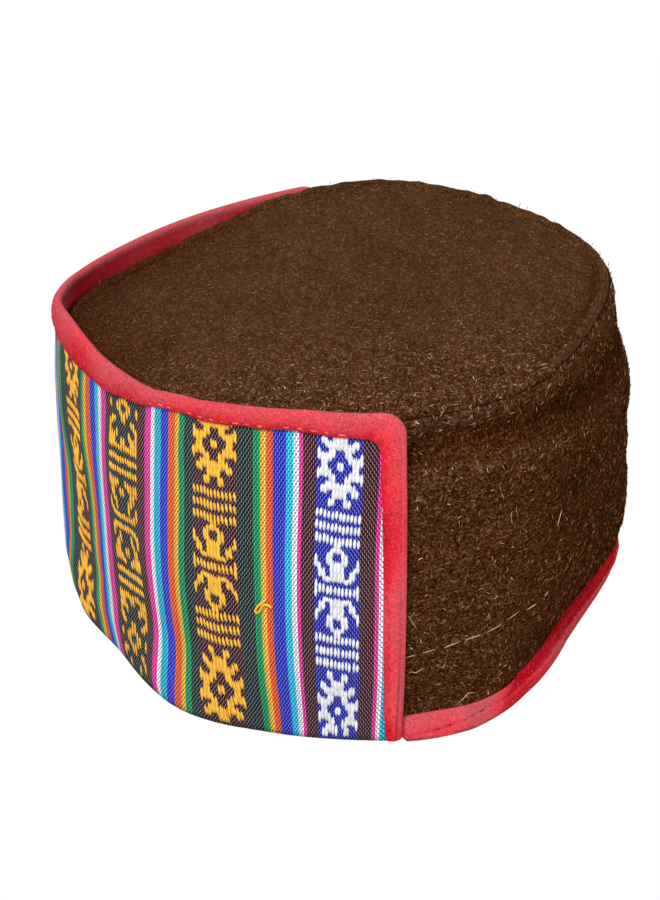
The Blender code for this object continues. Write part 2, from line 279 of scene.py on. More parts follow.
def underTop(inset, depth):
    # depth under the band's own top, of a place measured in millimetres under a level top
    bearing = capShape["nearEnd"] - inset * (capShape["nearEnd"] - capShape["farEnd"]) * mm / bandWidth
    dent = np.interp(inset, topDents["inset"], topDents["dent"])
    shift = around("lift", bearing) / mm * smooth(bearing / 20) - dent
    return bandDepth / mm * (depth + shift) / (bandDepth / mm + shift)


def lumps(points, size, seed, count=24):
    # smooth noise of about -1 to 1: a sum of level waves in random directions
    rng = np.random.default_rng(seed)
    way = unit(rng.normal(size=(count, 3)))
    reach = 2 * np.pi / (size * rng.uniform(0.7, 1.6, count))
    phase = rng.uniform(0, 2 * np.pi, count)
    total = np.zeros(points.shape[:-1])
    for direction, number, start in zip(way, reach, phase):
        total += np.cos(points @ (direction * number) + start)
    return total * np.sqrt(1.6 / count)


def lumpsAlong(values, size, seed):
    # the same noise along one number
    return lumps(np.asarray(values)[..., None] * np.array([1.0, 0.0, 0.0]), size, seed, 12)


# Meshes


def finishMesh(mesh, weldDoubles):
    # merges coincident points, and turns the mesh outwards if its signed volume is negative
    if weldDoubles:
        work = bmesh.new()
        work.from_mesh(mesh)
        bmesh.ops.remove_doubles(work, verts=work.verts, dist=1e-7)
        bmesh.ops.dissolve_degenerate(work, edges=work.edges, dist=1e-8)
        work.to_mesh(mesh)
        work.free()
    points = np.empty(len(mesh.vertices) * 3)
    mesh.vertices.foreach_get("co", points)
    points = points.reshape(-1, 3)
    points = points - points.mean(0)
    mesh.calc_loop_triangles()
    tris = np.empty(len(mesh.loop_triangles) * 3, np.int32)
    mesh.loop_triangles.foreach_get("vertices", tris)
    a, b, c = (points[tris.reshape(-1, 3)[:, k]] for k in range(3))
    if (a * np.cross(b, c)).sum() < 0:
        mesh.flip_normals()
    mesh.update()


def fillMesh(name, points, faces):
    # faces: a list of arrays of indices, each array with one number of corners
    mesh = bpy.data.meshes.new(name)
    mesh.vertices.add(len(points))
    mesh.vertices.foreach_set("co", np.ascontiguousarray(points, np.float32).ravel())
    mesh.loops.add(sum(f.size for f in faces))
    mesh.loops.foreach_set("vertex_index", np.concatenate([f.ravel() for f in faces]).astype(np.int32))
    sizes = np.concatenate([np.full(len(f), f.shape[1]) for f in faces])
    mesh.polygons.add(len(sizes))
    mesh.polygons.foreach_set("loop_start", (np.cumsum(sizes) - sizes).astype(np.int32))
    mesh.update(calc_edges=True)
    return mesh


def setThread(mesh, values):
    # a colour for each corner of each face
    full = np.concatenate([values, np.ones(values.shape[:-1] + (1,))], -1)
    layer = mesh.color_attributes.new("thread", "FLOAT_COLOR", "CORNER")
    layer.data.foreach_set("color", np.ascontiguousarray(full, np.float32).ravel())


def addPiece(name, mesh, material):
    mesh.materials.append(material)
    mesh.shade_smooth()
    piece = bpy.data.objects.new(name, mesh)
    bpy.context.scene.collection.objects.link(piece)
    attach(piece, "root")
    return piece


def ring(count):
    # bearings of the rows of a grid that runs round the cap
    return (np.arange(count) * 360 / count)[:, None]


def closedUp(grid, alongToo):
    # a grid with its first column after its last, and its first row too where it runs round
    grid = np.hstack([grid, grid[:, :1]])
    return np.concatenate([grid, grid[:1]]) if alongToo else grid


def gridPiece(name, points, material, runsRound, run, across, colour):
    # quads between neighbouring rows and columns of a grid of points, whose columns close on
    # themselves. run is a length in millimetres for each row, and across one for each point;
    # colour is for each point, or for each face where its grid has a row less
    rows, columns = points.shape[:2]

    def fitted(grid):
        return closedUp(grid, runsRound) if grid.shape[:2] == (rows, columns) else grid

    def corners(grid):
        return np.stack([grid[:-1, :-1], grid[:-1, 1:], grid[1:, 1:], grid[1:, :-1]], 2)

    index = fitted(np.arange(rows * columns).reshape(rows, columns))
    mesh = fillMesh(name, points.reshape(-1, 3), [corners(index).reshape(-1, 4)])
    across = fitted(across)
    uv = corners(np.stack(np.broadcast_arrays(run[:, None], across), -1))
    layer = mesh.uv_layers.new(name="cloth")
    layer.data.foreach_set("uv", np.ascontiguousarray(uv, np.float32).ravel())
    setThread(mesh, np.repeat(colour[:, :, None], 4, 2) if len(colour) < rows else corners(fitted(colour)))
    finishMesh(mesh, True)
    return addPiece(name, mesh, material)


def threadPiece(name, paths, sideways, up, widths, heights, material, colour, sides):
    # many short spindles in one mesh. paths is (count, stations, 3); the first and last stations
    # are points, and the others are ellipses in the plane of sideways and up. The colour is for
    # each thread, or for each point of it
    count, stations = paths.shape[:2]
    turn = 2 * np.pi * (np.arange(sides) + 0.5) / sides
    ovals = (
        np.cos(turn)[:, None] * (sideways[:, 1:-1] * widths[:, 1:-1, None])[:, :, None]
        + np.sin(turn)[:, None] * (up[:, 1:-1] * heights[:, 1:-1, None])[:, :, None]
    ) / 2
    middles = (paths[:, 1:-1, None] + ovals).reshape(count, -1, 3)
    points = np.concatenate([paths[:, :1], middles, paths[:, -1:]], 1)
    each = points.shape[1]
    first = 1 + np.arange(sides)
    after = 1 + (np.arange(sides) + 1) % sides
    startFan = np.stack([np.zeros(sides, int), after, first], 1)
    last = (stations - 3) * sides
    endFan = np.stack([np.full(sides, each - 1), first + last, after + last], 1)
    steps = np.arange(stations - 3)[:, None] * sides
    quads = np.stack([first + steps, after + steps, after + steps + sides, first + steps + sides], 2)
    base = (np.arange(count) * each)[:, None, None]
    fans = (np.concatenate([startFan, endFan])[None] + base).reshape(-1, 3)
    faces = [fans, (quads.reshape(1, -1, 4) + base).reshape(-1, 4)]
    mesh = fillMesh(name, points.reshape(-1, 3), faces)
    if colour.ndim == 2:
        colour = np.repeat(colour[:, None], each, 1)
    setThread(mesh, colour.reshape(-1, 3)[np.concatenate([f.ravel() for f in faces])])
    finishMesh(mesh, False)
    return addPiece(name, mesh, material)


# Materials


def linear(red, green, blue):
    # a colour as a paint chart gives it, 0 to 255, to the numbers that light adds up in
    share = np.array([red, green, blue]) / 255
    return np.where(share < 0.04045, share / 12.92, ((share + 0.055) / 1.055) ** 2.4)


class Term:
    # a number, place or colour in a material's tree, with sums written as for plain numbers

    def __init__(self, tree, socket):
        self.tree = tree
        self.socket = socket

    def step(self, operation, *others):
        return added("Math", 0, dict(enumerate((self, *others))), operation=operation)

    def __add__(self, other):
        return self.step("ADD", other)

    def __sub__(self, other):
        return self.step("SUBTRACT", other)

    def __rsub__(self, other):
        return added("Math", 0, {0: other, 1: self}, operation="SUBTRACT")

    def __mul__(self, other):
        return self.step("MULTIPLY", other)

    def __truediv__(self, other):
        return self.step("DIVIDE", other)

    def __pow__(self, other):
        return self.step("POWER", other)

    def __abs__(self):
        return self.step("ABSOLUTE")

    def parts(self):
        node = self.tree.nodes.new("ShaderNodeSeparateXYZ")
        feed(node.inputs[0], self)
        return [Term(self.tree, output) for output in node.outputs]


def feed(socket, value):
    # a link from a term, or else a plain number, vector or colour
    if isinstance(value, Term):
        value.tree.links.new(value.socket, socket)
    elif socket.type == "RGBA":
        socket.default_value = (*value, 1.0)
    else:
        socket.default_value = value


def added(kind, result, inputs, **settings):
    # a node with its inputs, at least one of them a term, as the term for one of its results
    tree = next(value.tree for value in inputs.values() if isinstance(value, Term))
    node = tree.nodes.new("ShaderNode" + kind)
    for name, value in settings.items():
        setattr(node, name, value)
    for key, value in inputs.items():
        feed(node.inputs[key], value)
    return Term(tree, node.outputs[result])


def blendColours(share, a, b, mode="MIX"):
    return added("Mix", 2, {0: share, 6: a, 7: b}, data_type="RGBA", blend_type=mode)


def shaded(colour, shade):
    # a colour times a plain shade
    grey = added("CombineXYZ", 0, dict.fromkeys(range(3), shade))
    return blendColours(1.0, colour, grey, "MULTIPLY")


def noise(at, scale, detail=2.0, roughness=0.5, distortion=0.0):
    inputs = {"Vector": at, "Scale": scale, "Detail": detail, "Roughness": roughness}
    return added("TexNoise", "Fac", {**inputs, "Distortion": distortion})


def stretched(at, scale):
    return added("Mapping", 0, {"Vector": at, "Scale": scale})


def ramp(value, low, high, kind="SMOOTHSTEP"):
    # 0 at low and 1 at high, and no further
    ends = {"Value": value, "From Min": low, "From Max": high}
    return added("MapRange", "Result", ends, interpolation_type=kind)


def objectPlace(tree):
    return Term(tree, tree.nodes.new("ShaderNodeTexCoord").outputs["Object"])


def clothPlace(tree):
    # lengths in millimetres along a piece's rows and across them
    node = tree.nodes.new("ShaderNodeUVMap")
    node.uv_map = "cloth"
    return Term(tree, node.outputs[0]).parts()[:2]


def threadColour(tree):
    node = tree.nodes.new("ShaderNodeAttribute")
    node.attribute_name = "thread"
    return Term(tree, node.outputs["Color"])


def clothMaterial(name, roughness, sheen, sheenTint, shine):
    material = bpy.data.materials.new(name)
    material.use_nodes = True
    shader = material.node_tree.nodes["Principled BSDF"]
    shader.inputs["Roughness"].default_value = roughness
    shader.inputs["Specular IOR Level"].default_value = shine
    shader.inputs["Sheen Weight"].default_value = sheen
    shader.inputs["Sheen Roughness"].default_value = 0.5
    shader.inputs["Sheen Tint"].default_value = (*sheenTint, 1.0)
    return material, material.node_tree


def finishCloth(material, colour, height, distance):
    # the colour and the bumps of a cloth's surface, as its last step
    shader = material.node_tree.nodes["Principled BSDF"]
    feed(shader.inputs["Base Color"], colour)
    normal = added("Bump", 0, {"Strength": 1.0, "Distance": distance, "Height": height})
    feed(shader.inputs["Normal"], normal)
    return material


woolLook = {
    "pit": linear(24, 5, 0),
    "ground": linear(54, 22, 2),
    "mid": linear(100, 61, 29),
    "curl": linear(148, 108, 70),
    "speck": linear(190, 164, 130),
    "plain": linear(82, 50, 26),
    "rowPitch": 1.3 * mm,
    "curls": ((420.0, 0.035, 3.1), (760.0, 0.05, 7.7)),  # scale of the noise, width, shift
}


def woolMaterial(name, sheen, brightness, nap, calm):
    # dark ground, with thin curly lines where a twisted noise passes its middle value
    material, tree = clothMaterial(name, 0.95, sheen, (0.8, 0.62, 0.45), 0.0)
    at = stretched(objectPlace(tree), nap)
    row = clothPlace(tree)[1]
    mottle = noise(at, 950.0, 3.0, 0.65, 0.6)
    colour = blendColours(ramp(mottle, 0.30, 0.50), woolLook["pit"], woolLook["ground"])
    colour = blendColours(ramp(mottle, 0.50, 0.70), colour, woolLook["mid"])
    curls = []
    for scale, width, shift in woolLook["curls"]:
        shifted = added("VectorMath", 0, {0: at, 1: (shift, shift * 0.7, shift * 1.3)}, operation="ADD")
        wavy = noise(shifted, scale, 1.0, 0.5, 2.2)
        line = 1.0 - ramp(abs(wavy - 0.5), 0.0, width)
        line = line * ramp(noise(shifted, scale * 1.1, 1.0), 0.36, 0.6)
        colour = blendColours(line * 0.72, colour, woolLook["curl"])
        curls.append(line)
    # calmer away from the side with the band's near end
    calmer = ramp(objectPlace(tree).parts()[0], 0.075, 0.02) * calm
    colour = blendColours(calmer, colour, woolLook["plain"])
    turn = 2 * np.pi * mm / woolLook["rowPitch"]
    rows = ((row + noise(at, 180.0) * 2.6) * turn).step("SINE")
    # brightness is painted light, set apart for the disc's copy and the wall's
    shade = (rows * 0.16 + 0.90) * (noise(at, 60.0) * 0.6 + 0.74) * brightness
    colour = blendColours(1.0, shaded(colour, shade), threadColour(tree), "MULTIPLY")
    speck = ramp(noise(at, 1500.0, 0.0), 0.78, 0.82)
    colour = blendColours(speck * 0.45, colour, woolLook["speck"])
    height = mottle + curls[0] * 0.5 + curls[1] * 0.35 + rows * 0.12
    return finishCloth(material, colour, height, 0.6 * mm)


tapeLook = {
    "deepRedAndShade": linear(176, 4, 20),
    "face": linear(236, 40, 55),
    "dusty": linear(204, 88, 94),
    "pale": linear(236, 134, 138),
    "pitch": 0.55,  # millimetres between the threads of the tape, which lie on the bias
}


def tapeMaterial():
    # two crossing sets of fine threads at 45 degrees. The thread attribute says how dusty, how deep red and
    # how bright the tape is; the deep red also carries painted shade, and the brightness painted light and
    # shade
    material, tree = clothMaterial("redCottonTape", 0.9, 0.04, (1.0, 0.6, 0.6), 0.0)
    at = objectPlace(tree)
    length, across = clothPlace(tree)
    turn = 2 * np.pi * 0.7071 / tapeLook["pitch"]
    wander = noise(at, 260.0, 1.0) * 0.9
    warp = ((length + across + wander) * turn).step("SINE")
    weft = ((length - across + wander) * turn).step("SINE")
    threads = (warp + weft * 0.6) * 0.3 + 0.5
    dusty, deepRedAndShade, bright = threadColour(tree).parts()
    patchy = noise(at, 140.0, 3.0, 0.6) - 0.5
    dusty = ramp(dusty + patchy * 0.5, 0.0, 1.0, "LINEAR")
    deepRedAndShade = ramp(deepRedAndShade + patchy * 0.3, 0.0, 1.0, "LINEAR")
    colour = blendColours(dusty, tapeLook["face"], tapeLook["dusty"])
    colour = blendColours(deepRedAndShade, colour, tapeLook["deepRedAndShade"])
    grain = noise(at, 1500.0, 3.0, 0.7)
    colour = shaded(colour, (threads * 0.36 - 0.1 + grain * 1.8) * bright)
    fluff = ramp(noise(at, 1300.0, 1.0, 0.5, 1.5), 0.60, 0.72)
    colour = blendColours(fluff * 0.35, colour, tapeLook["pale"])
    creases = noise(stretched(at, (1.0, 1.0, 0.5)), 320.0)
    return finishCloth(material, colour, threads * 0.5 + creases, 0.35 * mm)


weaveLook = {
    "threadPitch": 0.51,  # millimetres between warp threads
    "floatLength": 1.7,  # millimetres from one float to the next along a thread
    "slant": 0.65,  # millimetres that a float's end slants over the width of a thread
    "turn": 15.7,  # millimetres from the near end, up to which the diagonal runs the other way
    # painted shade in the pits and grooves and on the floats' sides, and the painted highlight's colour and
    # strength
    "dark": (0.07, 0.05, 0.08),
    "body": (0.62, 0.55, 0.60),
    "brightBody": (0.84, 0.82, 0.84),
    "light": (0.98, 0.94, 0.98),
    "gleam": 0.42,
    "less": 0.24,  # of the gleam, on bright threads
}


def weaveMaterial():
    # warp floats like bricks, each thread half a float out of step with the next: a float is round across
    # and along, with painted shade in a pit at its ends and a groove beside it, painted shade on its sides
    # and a painted highlight down its middle
    material, tree = clothMaterial("stripedHandloomCloth", 0.8, 0.02, (1.0, 1.0, 1.0), 0.1)
    across, down = clothPlace(tree)
    at = objectPlace(tree)
    thread = across / weaveLook["threadPitch"]
    side = thread.step("FRACT") - 0.5
    way = 1.0 - across.step("LESS_THAN", weaveLook["turn"]) * 2.0
    slanted = down - side * (way * weaveLook["slant"])
    floats = slanted / weaveLook["floatLength"] + thread.step("FLOOR") * 0.5
    floatShare = (floats + noise(at, 500.0, 1.0) * 0.4).step("FRACT") - 0.5
    endward, sideward = abs(floatShare) * 2.0, abs(side) * 2.0
    roundness = (1.0 - sideward**2.0).step("MAXIMUM", 0.0).step("SQRT") * (1.0 - endward**4.0)
    # painted shade in the pits at the floats' ends and in the grooves beside them
    pit = ramp(endward, 0.60, 0.88) * ramp(sideward, 1.0, 0.45)
    hollow = pit.step("MAXIMUM", ramp(sideward, 0.60, 1.0) * 0.6)
    # painted highlight: a thin line down each float, which leans with the diagonal of the weave
    lean = floatShare * (way * -0.55) + side
    crest = ramp(abs(lean), 0.19, 0.02) * ramp(endward, 0.66, 0.2)
    # painted shade away from the highlight: bright threads keep their own colour, dark ones are darker with
    # paler painted gleams
    own = threadColour(tree)
    bright = ramp(added("RGBToBW", 0, {0: own}), 0.02, 0.25)
    body = blendColours(bright, weaveLook["body"], weaveLook["brightBody"])
    body = blendColours(1.0, own, body, "MULTIPLY")
    colour = blendColours(ramp(crest, 0.5, 0.0), own, body)
    gleam = crest * (bright * -weaveLook["less"] + weaveLook["gleam"])
    colour = blendColours(gleam, colour, weaveLook["light"])
    colour = blendColours(hollow, colour, blendColours(1.0, own, weaveLook["dark"], "MULTIPLY"))
    fine = noise(stretched(at, (1.0, 1.0, 0.25)), 5200.0)
    return finishCloth(material, shaded(colour, fine * 0.6 + 0.85), roundness + fine * 0.3, 0.22 * mm)


def yarnMaterial(name, roughness, scale, depth):
    # yarn in the colour of its attribute, with fine fibres along and across it
    material, tree = clothMaterial(name, roughness, 0.02, (1.0, 0.95, 0.85), 0.0)
    fine = noise(stretched(objectPlace(tree), (1.0, 1.0, 0.3)), scale, 2.0, 0.6)
    return finishCloth(material, shaded(threadColour(tree), fine * 0.55 + 0.72), fine, depth)


# one wool in two copies, whose brightness differs as painted light for how the disc and the wall are lit
discWool = woolMaterial("brownWoollenCloth", 0.04, 1.2, (0.6, 1.0, 1.0), 0.35)
wallWool = woolMaterial("brownWoollenWallCloth", 0.01, 1.32, (1.0, 1.0, 0.9), 0.0)
redTape = tapeMaterial()
bandWeave = weaveMaterial()
figureYarn = yarnMaterial("figureYarn", 0.75, 4200.0, 0.12 * mm)
sewingThread = yarnMaterial("sewingThread", 0.6, 5200.0, 0.06 * mm)
woolFibre = yarnMaterial("woolFibre", 0.9, 2600.0, 0.04 * mm)
print("materials made")


# Crown: the round disc, with the ridge of the seam round it

discLook = {
    "columns": 480,
    "fineStep": 0.5 * mm,  # between the rings near the rim
    "fineReach": 13.0 * mm,
    "coarseRings": 34,
    "underInsets": np.array([0.1, 4.6, 9.0, 20.0]) * mm,
    "underShares": np.array([0.4, 0.7, 1.0]),  # of the way to the middle
    "girth": 530,  # millimetres round it, that the lengths of its weave add up to
    "lump": 0.45 * mm,
    "pucker": 0.28 * mm,  # where the stitches draw in the ridge
    "puckerPitch": 5.5 * mm,
    # bearings between which the painted shade of the left, the painted light of the near side and the
    # painted shade and light of the seam show
    "left": (-80, 52, 40, 45),
    "near": (15, 105, 30, 25),
    "seam": (66, 200, 25),
}


def paintedShadeTint(shade):
    # painted shade: wool in the shade of its own folds is painted darker and redder
    return np.stack([shade**0.7, shade**1.2, shade**2.4], -1)


def discHeight(bearing, inward):
    # the ridge and groove near the rim, easing to one level in the middle
    radius = wallRadius(bearing, rimHeight(bearing))
    middle = capShape["bandTop"] - capShape["rimBelowBand"] + capShape["discRise"]
    edge = rimHeight(bearing) + along(discSection, "inward", "height", inward)
    return edge + (middle - edge) * smooth(inward / radius)


def discRelief(bearing, inward, points):
    # low lumps over the cloth, and puckers along the seam that die out inwards
    length = np.radians(bearing) * 85 * mm
    puckers = lumpsAlong(length, discLook["puckerPitch"], 5) * bell(inward, 1.5 * mm, 2.2 * mm)
    coarse = lumps(points, 26 * mm, 11) * smooth(inward / (6 * mm))
    return discLook["lump"] * coarse + discLook["pucker"] * puckers


def discShade(bearing, inward):
    # painted shade: darker beside the standing band on the far left, where its shadow falls, and in the
    # groove by the seam; painted light on the seam's ridge and on the near side
    front = fromFront(bearing)
    left = between(front, *discLook["left"]) * smooth(1 - inward / (34 * mm))
    seam = 0.2 * bell(inward, 1.0 * mm, 1.2 * mm) - 0.42 * bell(inward, 4.6 * mm, 1.6 * mm)
    seam = seam * between(np.mod(bearing, 360), *discLook["seam"])
    near = between(front, *discLook["near"]) * smooth(1 - np.abs(inward - 18 * mm) / (24 * mm))
    return 1 - 0.34 * left + seam + 0.08 * near


def makeDisc():
    # polar grid: down the rim's edge, over the ridge, in to the middle, and back along the underside
    bearing = ring(discLook["columns"])
    rim = rimHeight(bearing)
    radius = wallRadius(bearing, rim) - seamInset(bearing)
    fine = np.arange(0.0, discLook["fineReach"], discLook["fineStep"])
    far = fine[-1] + discLook["fineStep"]
    coarse = far + (radius - far) * np.linspace(0, 1, discLook["coarseRings"] + 1)
    upper = np.hstack([fine + 0 * radius, coarse])
    over = place(bearing, radius - upper, discHeight(bearing, upper))
    over[..., 2] += discRelief(bearing, upper, over)
    lower = np.hstack([discLook["underInsets"] + 0 * radius, discLook["underShares"] * radius])
    under = place(bearing, radius - lower, discHeight(bearing, lower) - capShape["wool"])
    under[:, :2, 2] = rim - capShape["seamDepth"] + capShape["gap"]
    points = np.hstack([over, under[:, ::-1]])
    run = np.linspace(0, discLook["girth"], len(bearing) + 1)
    across = np.hstack([upper, lower[:, ::-1]]) / mm
    # painted shade and light on the disc's top, none on its underside
    shade = np.hstack([discShade(bearing, upper), np.ones(lower.shape)])
    piece = gridPiece("crownDisc", points, discWool, True, run, across, paintedShadeTint(shade))
    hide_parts("crown_top")
    return piece


crownDisc = makeDisc()
print("crown disc made")


# Wall: the same cloth, from the seam down into the hem

wallLook = {
    "columns": 620,
    "rowStep": 1.6 * mm,
    "innerRows": 18,
    "girth": 560,
    "lump": 0.5 * mm,
    "lumpSize": 34 * mm,
    "ripple": 0.22 * mm,
    # middle in millimetres under the seam, reach and strength of the painted light and painted shade of each
    # fold
    "foldShades": ((3.0, 3.4, 0.4), (12.0, 3.2, -0.32), (20.0, 2.2, 0.3)),
    "dark": (98, 300, 42),  # bearings between which the wall turns away from the light
}


def wallRelief(bearing, height, points):
    # soft lumps and fine ripples where the wool shows, none behind the band or in the hem
    shown = between(bearing, capShape["nearEnd"] + 1, 360 + capShape["farEnd"] - 1, 6.0)
    shown = shown * between(height, 10 * mm, rimHeight(bearing), 12 * mm, 5 * mm)
    coarse = wallLook["lump"] * lumps(points * np.array([1, 1, 1.6]), wallLook["lumpSize"], 21)
    return (coarse + wallLook["ripple"] * lumps(points, 9 * mm, 22)) * shown


def wallGround(bearing, height):
    radius = woolRadius(bearing, height)
    return radius + wallRelief(bearing, height, place(bearing, radius, height))


def wallShade(bearing, height):
    # painted light on the roll under the seam and on the fold below it, painted shade between them and to
    # the right
    depth = foldDepth(bearing, height) / mm
    foldShades = sum(strength * bell(depth, middle, reach) for middle, reach, strength in wallLook["foldShades"])
    return (1.02 + foldShades) * (1 - 0.32 * between(bearing, *wallLook["dark"]))


def makeWall():
    # a closed section for each bearing: up the outer face, over the top edge, down the inner face
    bearing = ring(wallLook["columns"])
    rim = rimHeight(bearing)
    top = rim - capShape["seamDepth"] + 0.9 * capShape["gap"]
    foot = capShape["tape"] + capShape["gap"]
    rows = int((capShape["bandTop"] - foot) / wallLook["rowStep"])
    outer = foot + (top - foot) * np.linspace(0, 1, rows)
    inner = foot + (top - foot) * np.linspace(1, 0, wallLook["innerRows"])
    points = np.hstack([
        place(bearing, wallGround(bearing, outer), outer),
        place(bearing, woolRadius(bearing, inner) - capShape["wool"], inner),
    ])
    run = np.linspace(0, wallLook["girth"], len(bearing) + 1)
    down = np.hstack([rim - outer, inner]) / mm
    # painted light and shade on the outer face, none inside
    shade = np.hstack([wallShade(bearing, outer), np.ones(inner.shape)])
    piece = gridPiece("crownWall", points, wallWool, True, run, down, paintedShadeTint(shade))
    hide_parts("crown_side")
    return piece


crownWall = makeWall()
print("wall made")


# Band: striped cloth woven with columns of small figures

bandColours = {
    "magenta": linear(255, 66, 176),
    "maroon": linear(86, 22, 38),
    "white": linear(250, 250, 252),
    "cyan": linear(48, 212, 248),
    "blue": linear(46, 66, 238),
    "orange": linear(255, 104, 54),
    "yellow": linear(255, 200, 62),
    "green": linear(16, 168, 104),
    "darkGreen": linear(10, 56, 52),
    "blueGround": linear(34, 54, 212),
    "maroonGround": linear(78, 20, 36),
    "greenGround": linear(10, 52, 40),
}
# stripes between two columns of figures, in millimetres, from a blue or green ground to a maroon one
blueRun = (
    ("maroon", 3.7), ("magenta", 1.1), ("white", 1.2), ("cyan", 2.1), ("blue", 3.9),
    ("orange", 2.0), ("yellow", 1.4), ("green", 2.1), ("darkGreen", 4.7),
)
greenRun = (
    ("maroon", 3.1), ("magenta", 2.9), ("white", 1.6), ("cyan", 2.4), ("blue", 3.0),
    ("orange", 2.4), ("yellow", 1.9), ("green", 2.0), ("darkGreen", 2.8),
)
bandPattern = {
    "start": (("blue", 2.4), ("cyan", 1.0), ("white", 1.4), ("magenta", 1.0), ("maroon", 3.8)),
    "pull": 1.3,  # millimetres that the first threads are pulled away from the near end, lower down
    "pulled": (0.0, 46.0, 4.8, 22.0),  # millimetres from the near end
    "repeat": (
        (("blueGround", 12.2),) + blueRun + (("maroonGround", 14.3),) + greenRun[::-1]
        + (("greenGround", 13.7),) + greenRun + (("maroonGround", 14.0),) + blueRun[::-1]
    ),
    "drift": 3.4,  # millimetres that the threads lean towards the near end, from top to foot
    "driftEase": 36.0,
    "wander": 0.22,
}
bandLook = {
    "rows": 46,
    "ripple": 0.25 * mm,
}


def stripeEdges():
    # names of the stripes and their far edges in millimetres from the near end
    stripes = list(bandPattern["start"])
    while sum(width for _, width in stripes) < bandWidth / mm + 5:
        stripes += bandPattern["repeat"]
    return [name for name, _ in stripes], np.cumsum([width for _, width in stripes])


stripeNames, stripeEnds = stripeEdges()


def clothToInset(across, depth):
    # where a thread lies: it leans towards the near end, less so close to it, and wanders a little
    free = between(across, 0.0, bandWidth / mm, bandPattern["driftEase"])
    lean = bandPattern["drift"] * depth / bandDepth
    sway = bandPattern["wander"] * lumpsAlong(depth / mm + across * 0.37, 46.0, 31)
    pull = bandPattern["pull"] * smooth((depth / mm - 6) / 38) * between(across, *bandPattern["pulled"])
    return (across + (sway - lean) * free + pull) * mm


def bandRipple(inset, depth, points):
    # soft ripples in the cloth, none near its edges, where the tape holds it
    fromEnd = np.minimum(inset, bandWidth - inset)
    free = smooth((fromEnd - 5 * mm) / (8 * mm)) * between(depth, 6 * mm, bandDepth, 8 * mm, 5 * mm)
    ripple = bandLook["ripple"] * lumps(points * np.array([1, 1, 0.5]), 16 * mm, 41)
    return np.clip(ripple, -0.3 * mm, 0.6 * mm) * free


def makeBand():
    # one column of faces for each warp thread, so that every thread has its own colour
    count = int(round(bandWidth / mm / weaveLook["threadPitch"]))
    across = np.arange(count + 1) * (bandWidth / mm / count)
    corner, cloth = capShape["cornerRadius"], capShape["bandCloth"]
    fromEnd = np.minimum(across * mm, bandWidth - across * mm)[:, None]
    first = corner - np.sqrt(corner**2 - np.maximum(corner - fromEnd, 0.0) ** 2)
    depth = first + (bandDepth - first) * np.linspace(1, 0, bandLook["rows"])
    inset = clothToInset(across[:, None], depth)
    off = bandStandoff + cloth
    off = off + bandRipple(inset, depth, bandPoint(1, inset, depth, off))
    inner = bandStandoff + np.zeros_like(off)
    off[[0, -1]] = inner[[0, -1]] = bandStandoff + cloth / 2
    points = np.hstack([
        bandPoint(1, inset, depth, off), bandPoint(1, inset[:, ::-1], depth[:, ::-1], inner),
    ])
    rng = np.random.default_rng(51)
    middle = (across[:-1] + across[1:]) / 2
    spread = rng.normal(0, 0.10, middle.shape)
    stripes = np.searchsorted(stripeEnds, middle + rng.normal(0, 0.08, middle.shape))
    colours = np.array([bandColours[stripeNames[k]] for k in stripes]) * (1 + spread[:, None])
    faces = np.repeat(colours[:, None], points.shape[1], 1)
    run = np.arange(count + 1) * weaveLook["threadPitch"]
    down = np.hstack([depth, depth[:, ::-1]]) / mm
    piece = gridPiece("stripedBand", points, bandWeave, False, run, down, faces)
    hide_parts("front_band")
    return piece


stripedBand = makeBand()
print("striped band made")


# Figures: floats of thicker yarn, charted. A chart is half as wide as its figure, which is mirrored across.
# The star and the frog are mirrored down too.

figureCharts = {
    "star": (
        "...##.", "...##.", "....##", ".##.##", ".#####", "..####", "#..##.", "#####.", "####..", ".##..#",
    ),
    "frog": (
        ".....#", "....##", "...##.", "#..##.", "#..###", "##..##", ".##.##", ".##.##", "..####", "#.....",
        "######",
    ),
    "bars": ("######", "######", "......", "######", "######", "......", "######", "######"),
    "gap": ("......",),
}
figureLook = {
    "firstRow": 11.5,  # millimetres below the band's top, of the first star's middle
    "firstIndex": 10.0,
    "rows": (-8, 92),
    "rowPitch": 1.145,
    "rowGrowth": 0.00254,
    "columnPitch": 1.1,
    "groundWidth": 13.2,  # of the stripe that has the columns at that pitch
    "width": 1.08,
    "thinner": 0.3,
    "height": 0.5,
    "longest": 3,  # rows
    "highest": 2.6,  # millimetres below the band's top
    "overlap": 1.0,  # of a row, between one float and the next of a run
    "tip": (0.65, 0.38),  # of a row, past the end of a run, where the figures are bare or filled
    "lean": (0.1, -0.5),  # millimetres, each white or yellow float's top towards the near end
    # how far the rows are bowed down, in millimetres by inset from the near end
    "bowAt": (0, 10, 22, 36, 50, 60, 86, 200),
    "bow": (5.5, 3.9, 1.3, -0.8, 0.5, 0.8, 0.0, 0.0),
    # each yarn on its crest, with painted highlight, and at its edge, with painted shade
    "white": (linear(242, 242, 246), linear(150, 152, 178)),
    "yellow": (linear(255, 200, 74), linear(196, 84, 20)),
    "endLightAndShade": (1.1, 1.1, 1.02, 0.88, 0.8),  # from the top of a float to its foot
}


def figurePeriod():
    # the rows of one repeat: a star, a gap, bars, the big figure, bars and a gap
    star, frog = (figureCharts[name] + figureCharts[name][::-1] for name in ("star", "frog"))
    bars, gap = figureCharts["bars"], figureCharts["gap"]
    rows = star + gap + bars + frog + bars + gap
    return np.array([[c == "#" for c in row + row[::-1]] for row in rows])


def figureDepth(row):
    # depth in millimetres of a row: the rows open out a little towards the foot
    past = row - figureLook["firstIndex"]
    return figureLook["firstRow"] + figureLook["rowPitch"] * past + figureLook["rowGrowth"] * past**2


